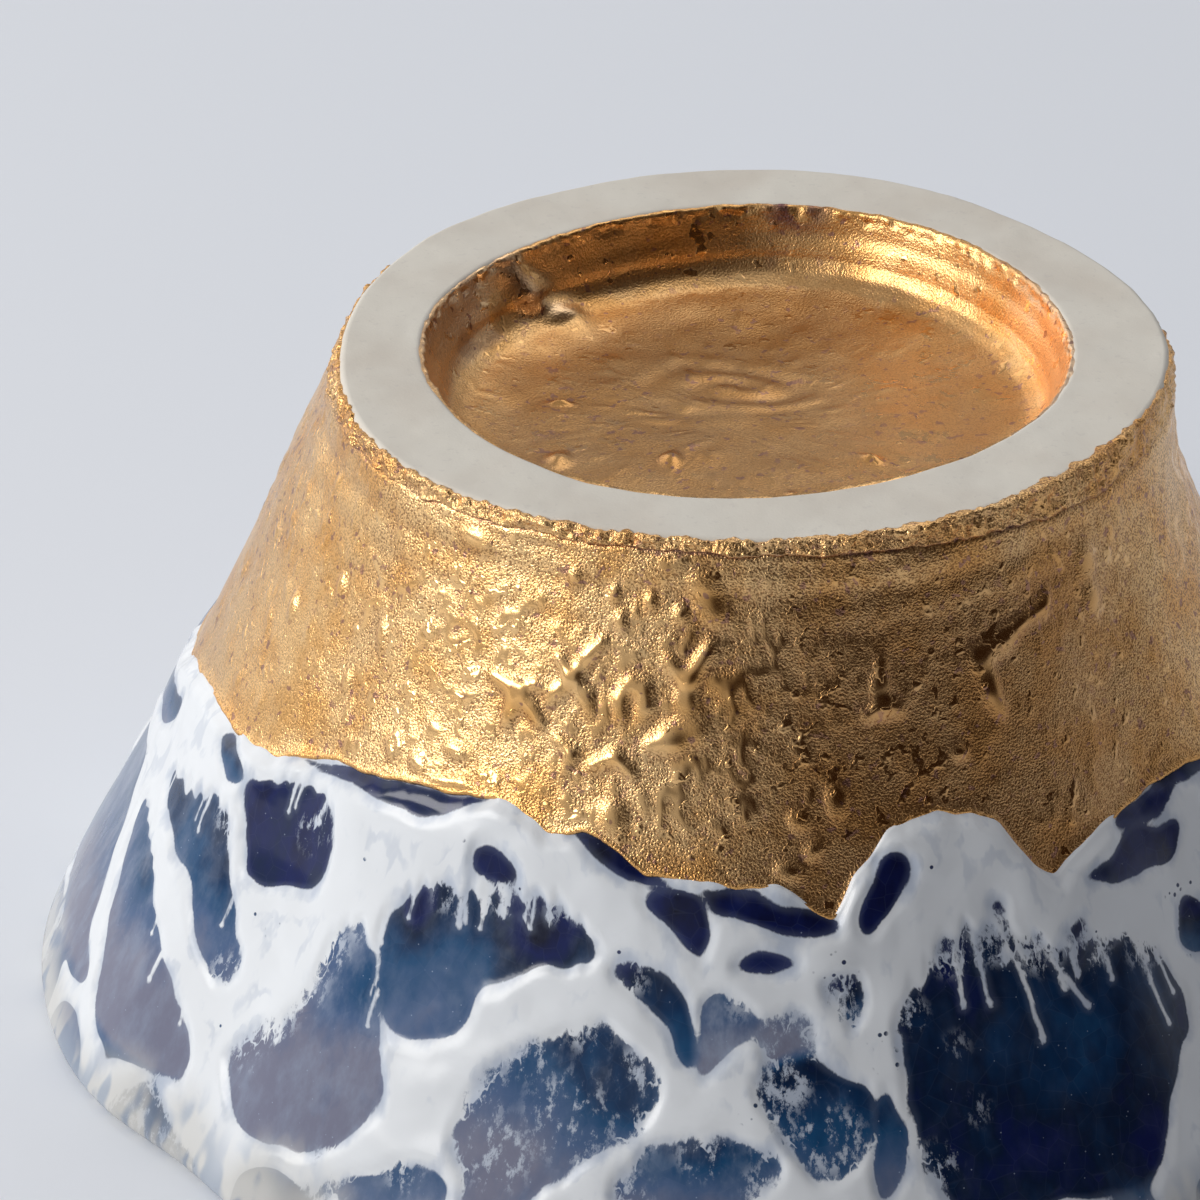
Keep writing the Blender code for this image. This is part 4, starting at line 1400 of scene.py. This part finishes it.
def gold_finish(name, warmth, grain_depth, island_level, pit_shade_share):
    recipe = Recipe(name)
    place = recipe.place()
    smooth = recipe.value("smooth")
    edge = recipe.value("edge")
    hollow = recipe.value("hollow")
    stain = recipe.value("stain")
    painted_light_and_shade = recipe.value("painted_light_and_shade")
    islands = recipe.noise(place, ISLAND_SIZE, 2.0, 0.5)
    threshold = recipe.times_plus(recipe.value("melted"), -0.09, island_level)
    above = recipe.less(islands, threshold)
    island = recipe.math("POWER", recipe.times(above, 4.5, clamp=True), 0.6)
    covered = recipe.most(smooth, recipe.ease(0.0, 0.05, above))
    rough_ground = recipe.less(1.0, covered, clamp=True)
    sand = recipe.noise(place, SAND_SIZE, 1.0, 0.5)
    ground = recipe.times(recipe.less(sand, 0.2), rough_ground)
    height = recipe.times_plus(island, 1.3, ground)
    normal = recipe.bump(height, grain_depth)
    mottling = recipe.noise(place, MOTTLE_SIZE, 3.0, 0.6)
    colour = recipe.mix(recipe.ease(0.35, 0.72, mottling), GOLD, GOLD_WARM)
    colour = recipe.mix(recipe.times_plus(smooth, 0.25, warmth), colour, GOLD_WARM)
    # Painted shade: the low points of the sand are darkened, for the shade between its grains.
    pit_shade = recipe.times(recipe.ease(0.56, 0.36, sand, 0.0, pit_shade_share), rough_ground)
    colour = recipe.mix(pit_shade, colour, GOLD_PIT_SHADE)
    # Painted shade darkens the gold where that value is over 0, and painted light pales it where it is under
    # 0.
    colour = recipe.mix(painted_light_and_shade, colour, GOLD_PAINTED_SHADE)
    colour = recipe.mix(recipe.times(painted_light_and_shade, -1.0), colour, GOLD_PAINTED_LIGHT)
    spots = recipe.ease(0.645, 0.69, recipe.noise(place, BURN_SIZE, 1.0))
    burned = recipe.times(spots, recipe.ease(0.40, 0.55, mottling, 0.25, 0.85))
    burned = recipe.times_plus(hollow, 0.15, burned, clamp=True)
    colour = recipe.mix(recipe.times(edge, 0.75), colour, GOLD_WARM)
    colour = recipe.mix(burned, colour, GOLD_MAUVE)
    colour = recipe.mix(recipe.times(stain, 0.9), colour, GOLD_PURPLE)
    roughness = recipe.ease(0.0, 1.0, rough_ground, 0.22, 0.32)
    return recipe.finish(Base_Color=colour, Roughness=roughness, Metallic=1.0, Normal=normal)


gold_lustre = gold_finish("gold_lustre", warmth=0.0, grain_depth=0.055, island_level=0.655, pit_shade_share=0.72)
gold_leafy = gold_finish("gold_crumpled", warmth=0.1, grain_depth=0.09, island_level=0.75, pit_shade_share=0.7)
gold_copper = gold_finish("gold_coppery", warmth=0.38, grain_depth=0.028, island_level=0.66, pit_shade_share=0.35)
for piece, finish in ((gold_wall, gold_lustre), (gold_band, gold_leafy), (gold_recess, gold_copper)):
    piece.data.materials.append(finish)
print("gold finishes:", gold_lustre.name, gold_leafy.name, gold_copper.name)

# %% [markdown]
# ## Sea glaze
# One finish makes both foam and glass, because on the cup they are one glossy skin. The glass value from
# the grid says which is which, and fine noise ruffles the border: crisp in places, a spray of specks
# in others. The glass itself is crazed, so facets differ a little in blue, and it holds small pale bubbles.

# %% Sea glaze finish
GLASS_TINTS = (
    (0.0, (0.003, 0.004, 0.018)), (0.15, (0.005, 0.011, 0.074)), (0.28, (0.004, 0.013, 0.040)),
    (0.42, (0.004, 0.028, 0.085)), (0.55, (0.010, 0.060, 0.150)), (0.75, (0.060, 0.105, 0.210)),
    (1.0, (0.165, 0.170, 0.235)))
GLASS_HAZE = (0.24, 0.28, 0.37, 1)
FOAM_WHITE = (0.715, 0.735, 0.755, 1)
# Grey blue of thin foam, also used for the painted shade of folds
FOAM_THIN_AND_SHADE = (0.42, 0.47, 0.56, 1)
LIP_PALE = (0.55, 0.54, 0.51, 1)
LIP_BLUE = (0.20, 0.26, 0.36, 1)
BUBBLE = (0.42, 0.50, 0.62, 1)
RUFFLE_SIZE = 0.60
NET_SIZE = 0.95
WISP_SIZE = 0.75
PORE_SIZE = 0.52
LONE_PORE_SIZE = 1.7
TONE_SIZE = 2.6
FACET_SIZE = 1.3
CLOUD_SIZE = 1.5
BUBBLE_SIZE = 0.36
FLOW_SIZE = 1.7
HANG = (1, 1, 0.42)


def sea_finish():
    recipe = Recipe("sea_glaze")
    place = recipe.place()
    hanging = recipe.place(HANG)
    glass = recipe.value("glass")
    spray = recipe.value("spray")
    ruffle = recipe.less(recipe.noise(hanging, RUFFLE_SIZE, 6.0, 0.70), 0.5)
    border = recipe.times_plus(recipe.times(ruffle, spray), -4.4, glass)
    net = recipe.math("ABSOLUTE", recipe.less(recipe.noise(hanging, NET_SIZE, 2.0, 0.6), 0.5))
    net = recipe.times(recipe.ease(0.045, 0.005, net), spray)
    border = recipe.times_plus(net, -0.8, border)
    softness = recipe.times_plus(spray, 0.24, 0.050)
    foam = recipe.ease(softness, recipe.times(softness, -1.0), border)
    wisps = recipe.ease(0.505, 0.60, recipe.noise(hanging, WISP_SIZE, 6.0, 0.74))
    wisps = recipe.times(wisps, recipe.ease(0.10, 0.50, spray, 0.0, 0.85))
    foam = recipe.most(foam, wisps)
    pore_cells = recipe.ease(0.27, 0.19, recipe.cells(place, PORE_SIZE))
    pore_cells = recipe.times(pore_cells, recipe.ease(0.30, 0.6, recipe.value("pores")))
    lone_pores = recipe.ease(0.075, 0.05, recipe.cells(place, LONE_PORE_SIZE))
    lone = recipe.ease(0.60, 0.62, recipe.first_of(recipe.cells(place, LONE_PORE_SIZE, "Color")))
    pore_cells = recipe.most(pore_cells, recipe.times(lone_pores, lone))
    foam = recipe.times(foam, recipe.less(1.0, pore_cells, clamp=True))
    drift = recipe.less(recipe.noise(hanging, TONE_SIZE, 3.0, 0.6), 0.5)
    tone = recipe.times_plus(drift, 0.55, recipe.value("tint"))
    facet = recipe.less(recipe.first_of(recipe.cells(place, FACET_SIZE, "Color")), 0.5)
    tone = recipe.times_plus(facet, 0.05, tone, clamp=True)
    blue = recipe.ramp(tone, GLASS_TINTS)
    clouds = recipe.ease(0.38, 0.75, recipe.noise(hanging, CLOUD_SIZE, 4.0, 0.65))
    cloudy = recipe.times(recipe.value("haze"), clouds)
    shallow = recipe.ease(0.40, 0.0, glass, 0.0, 0.14)
    blue = recipe.mix(recipe.math("ADD", cloudy, shallow, clamp=True), blue, GLASS_HAZE)
    cracks = recipe.ease(0.03, 0.0, recipe.cells(place, FACET_SIZE, "Distance", "DISTANCE_TO_EDGE"))
    blue = recipe.mix(recipe.times(cracks, 0.03), blue, GLASS_HAZE)
    bubbles = recipe.ease(0.13, 0.07, recipe.cells(place, BUBBLE_SIZE))
    chosen = recipe.ease(0.80, 0.82, recipe.first_of(recipe.cells(place, BUBBLE_SIZE, "Color")))
    blue = recipe.mix(recipe.times(recipe.times(bubbles, chosen), 0.4), blue, BUBBLE)
    flow = recipe.noise(hanging, FLOW_SIZE, 3.0, 0.55)
    thickness = recipe.times_plus(flow, -2.6, recipe.times_plus(glass, -1.0, 1.25))
    thin_foam_and_fold_shade = recipe.ease(0.55, -0.45, thickness)
    # Painted shade: soft darker bands along the window borders, for the shade of folds in the foam.
    fold_shade_bands = recipe.math("SINE", recipe.times_plus(flow, 16.0, recipe.times(glass, 4.5)))
    painted_fold_shade = recipe.times(recipe.ease(0.2, 1.0, fold_shade_bands), recipe.ease(0.46, 0.60, flow, 0.0, 0.42))
    thin_foam_and_fold_shade = recipe.most(thin_foam_and_fold_shade, painted_fold_shade)
    white = recipe.mix(recipe.times(thin_foam_and_fold_shade, 0.9), FOAM_WHITE, FOAM_THIN_AND_SHADE)
    colour = recipe.mix(foam, blue, white)
    streaky = recipe.ease(-0.25, 0.75, recipe.value("streak"))
    pale = recipe.mix(recipe.times(streaky, 0.75), LIP_PALE, LIP_BLUE)
    colour = recipe.mix(recipe.times(recipe.value("thin"), 0.85), colour, pale)
    roughness = recipe.ease(0.0, 1.0, foam, 0.15, 0.24)
    normal = recipe.bump(recipe.noise(place, 1.6, 1.0), 0.10, 0.35)
    return recipe.finish(Base_Color=colour, Roughness=roughness, Normal=normal, IOR=1.42)


sea_glass = sea_finish()
sea_glaze.data.materials.append(sea_glass)
bowl_glaze.data.materials.append(sea_glass)
print("sea glaze finish has", len(sea_glass.node_tree.nodes), "nodes")

# %% [markdown]
# ## Bare porcelain
# Biscuit-fired clay has no gloss. Its whiteness varies a little, with faint dusty specks, and its surface
# is faintly uneven.

# %% Porcelain finish
BISCUIT = (0.665, 0.625, 0.545, 1)
BISCUIT_WARM = (0.60, 0.545, 0.465, 1)
BISCUIT_DUST = (0.50, 0.46, 0.42, 1)


def porcelain_finish():
    recipe = Recipe("bare_porcelain")
    place = recipe.place()
    cloud = recipe.ease(0.35, 0.75, recipe.noise(place, 6.0, 3.0))
    colour = recipe.mix(cloud, BISCUIT, BISCUIT_WARM)
    dust = recipe.ease(0.63, 0.70, recipe.noise(place, 0.35, 2.0))
    colour = recipe.mix(recipe.times(dust, 0.25), colour, BISCUIT_DUST)
    normal = recipe.bump(recipe.noise(place, 1.4, 3.0), 0.06, 0.7)
    normal = recipe.bump(recipe.noise(place, 0.12, 2.0), 0.008, 0.8, normal)
    return recipe.finish(Base_Color=colour, Roughness=0.62, Normal=normal, IOR=1.45)


bare_porcelain = porcelain_finish()
porcelain.data.materials.append(bare_porcelain)
print("porcelain finish has", len(bare_porcelain.node_tree.nodes), "nodes")

# %% [markdown]
# ## Floor, light and camera
# The setting is a plain studio: a pale floor that runs out of sight, a large soft box on the left, a pale
# room all round, and a darker side to the front right, which gives the gold its deep tones.

# %% Pale floor
FLOOR_SIZE = 12.0
FLOOR_COLOUR = (0.752, 0.777, 0.818, 1)

floor_mesh = bpy.data.meshes.new("floor")
side = FLOOR_SIZE / 2
floor_corners = [(x * side, y * side, 0) for x, y in ((-1, -1), (1, -1), (1, 1), (-1, 1))]
floor_mesh.from_pydata(floor_corners, [], [(0, 1, 2, 3)])
floor = bpy.data.objects.new("floor", floor_mesh)
bpy.context.scene.collection.objects.link(floor)
floor_mesh.materials.append(Recipe("pale_floor").finish(Base_Color=FLOOR_COLOUR, Roughness=0.85))
floor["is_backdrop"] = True

# %% Room light
ROOM_COLOUR = (0.86, 0.89, 0.955, 1)
ROOM_STRENGTH = 0.505
DARK_SIDE_TURN = 44.0
DARK_SIDE_ELEVATION = 18.0
DARK_SIDE_FROM = 62.0
DARK_SIDE_FULL = 37.0
DARK_SIDE_COLOUR = (0.060, 0.034, 0.020, 1)


def toward(turn, elevation):
    """Unit direction from the cup: turn in degrees right of the camera's side, elevation above the floor."""
    angle, rise = math.radians(turn - 90), math.radians(elevation)
    return Vector((math.cos(angle) * math.cos(rise), math.sin(angle) * math.cos(rise), math.sin(rise)))


world = bpy.data.worlds.new("room")
world.use_nodes = True
bpy.context.scene.world = world
room = world.node_tree
background = room.nodes["Background"]
direction = room.nodes.new("ShaderNodeTexCoord").outputs["Generated"]
dark_way = room.nodes.new("ShaderNodeVectorMath")
dark_way.operation = "DOT_PRODUCT"
dark_way.inputs[1].default_value = toward(DARK_SIDE_TURN, DARK_SIDE_ELEVATION)
room.links.new(direction, dark_way.inputs[0])
dark_share = room.nodes.new("ShaderNodeMapRange")
dark_share.interpolation_type = "SMOOTHSTEP"
dark_share.inputs["From Min"].default_value = math.cos(math.radians(DARK_SIDE_FROM))
dark_share.inputs["From Max"].default_value = math.cos(math.radians(DARK_SIDE_FULL))
room.links.new(dark_way.outputs["Value"], dark_share.inputs["Value"])
room_mix = room.nodes.new("ShaderNodeMix")
room_mix.data_type = "RGBA"
room_mix.inputs[6].default_value = ROOM_COLOUR
room_mix.inputs[7].default_value = DARK_SIDE_COLOUR
room.links.new(dark_share.outputs["Result"], room_mix.inputs["Factor"])
room.links.new(room_mix.outputs[2], background.inputs["Color"])
background.inputs["Strength"].default_value = ROOM_STRENGTH

# %% Soft boxes
# Each: name, turn, elevation, distance in m, width and height in m, watts, colour
SOFT_BOXES = (
    ("left_soft_box", -69, 31, 0.75, 0.50, 0.30, 3.7, (1.0, 0.98, 0.95)),
    ("back_left_soft_box", -132, 22, 0.95, 0.9, 0.8, 2.2, (1.0, 0.98, 0.96)),
    ("top_soft_box", 150, 60, 0.9, 0.6, 0.6, 1.2, (0.98, 0.98, 1.0)))

for name, turn, elevation, distance, width, height, watts, colour in SOFT_BOXES:
    lamp = bpy.data.lights.new(name, "AREA")
    lamp.shape = "RECTANGLE"
    lamp.size = width
    lamp.size_y = height
    lamp.energy = watts
    lamp.color = colour
    box = bpy.data.objects.new(name, lamp)
    box.location = toward(turn, elevation) * distance
    box.rotation_euler = toward(turn, elevation).to_track_quat("Z", "Y").to_euler()
    bpy.context.scene.collection.objects.link(box)

# %% Camera
PICTURE_SIDE = 1200
FOCUS_IN_PIXELS = 6926.5
SENSOR_MM = 36.0
CAMERA_DISTANCE = 0.357
CAMERA_ELEVATION = 27.0
SIGHT_POINT = Vector((0.00079, -0.00147, HEIGHT * MM))
SIGHT_PIXEL = (749, 354)

camera_data = bpy.data.cameras.new("camera")
camera_data.sensor_width = SENSOR_MM
camera_data.lens = FOCUS_IN_PIXELS / PICTURE_SIDE * SENSOR_MM
camera_data.clip_start = 0.01
camera_data.clip_end = 50
camera = bpy.data.objects.new("camera", camera_data)
camera.location = SIGHT_POINT + toward(0, CAMERA_ELEVATION) * CAMERA_DISTANCE
forward = (SIGHT_POINT - camera.location).normalized()
right = Vector((1, 0, 0))
up = right.cross(forward)
off_right = (SIGHT_PIXEL[0] - PICTURE_SIDE / 2) / FOCUS_IN_PIXELS
off_up = (PICTURE_SIDE / 2 - SIGHT_PIXEL[1]) / FOCUS_IN_PIXELS
looking = (forward - right * off_right - up * off_up).normalized()
camera.rotation_euler = looking.to_track_quat("-Z", "Y").to_euler()
bpy.context.scene.collection.objects.link(camera)
bpy.context.scene.camera = camera
bpy.context.scene.view_settings.view_transform = "Standard"
print("camera at", [round(part, 4) for part in camera.location], "lens", round(camera_data.lens, 1))

# %% Sizes of the solid and of the dressed cup
dressed_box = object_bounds()
sizes = {"cad": [list(corner) for corner in cad_box], "visual": [list(corner) for corner in dressed_box]}
print("solid", [[round(part / MM, 2) for part in corner] for corner in cad_box])
print("dressed", [[round(part / MM, 2) for part in corner] for corner in dressed_box])
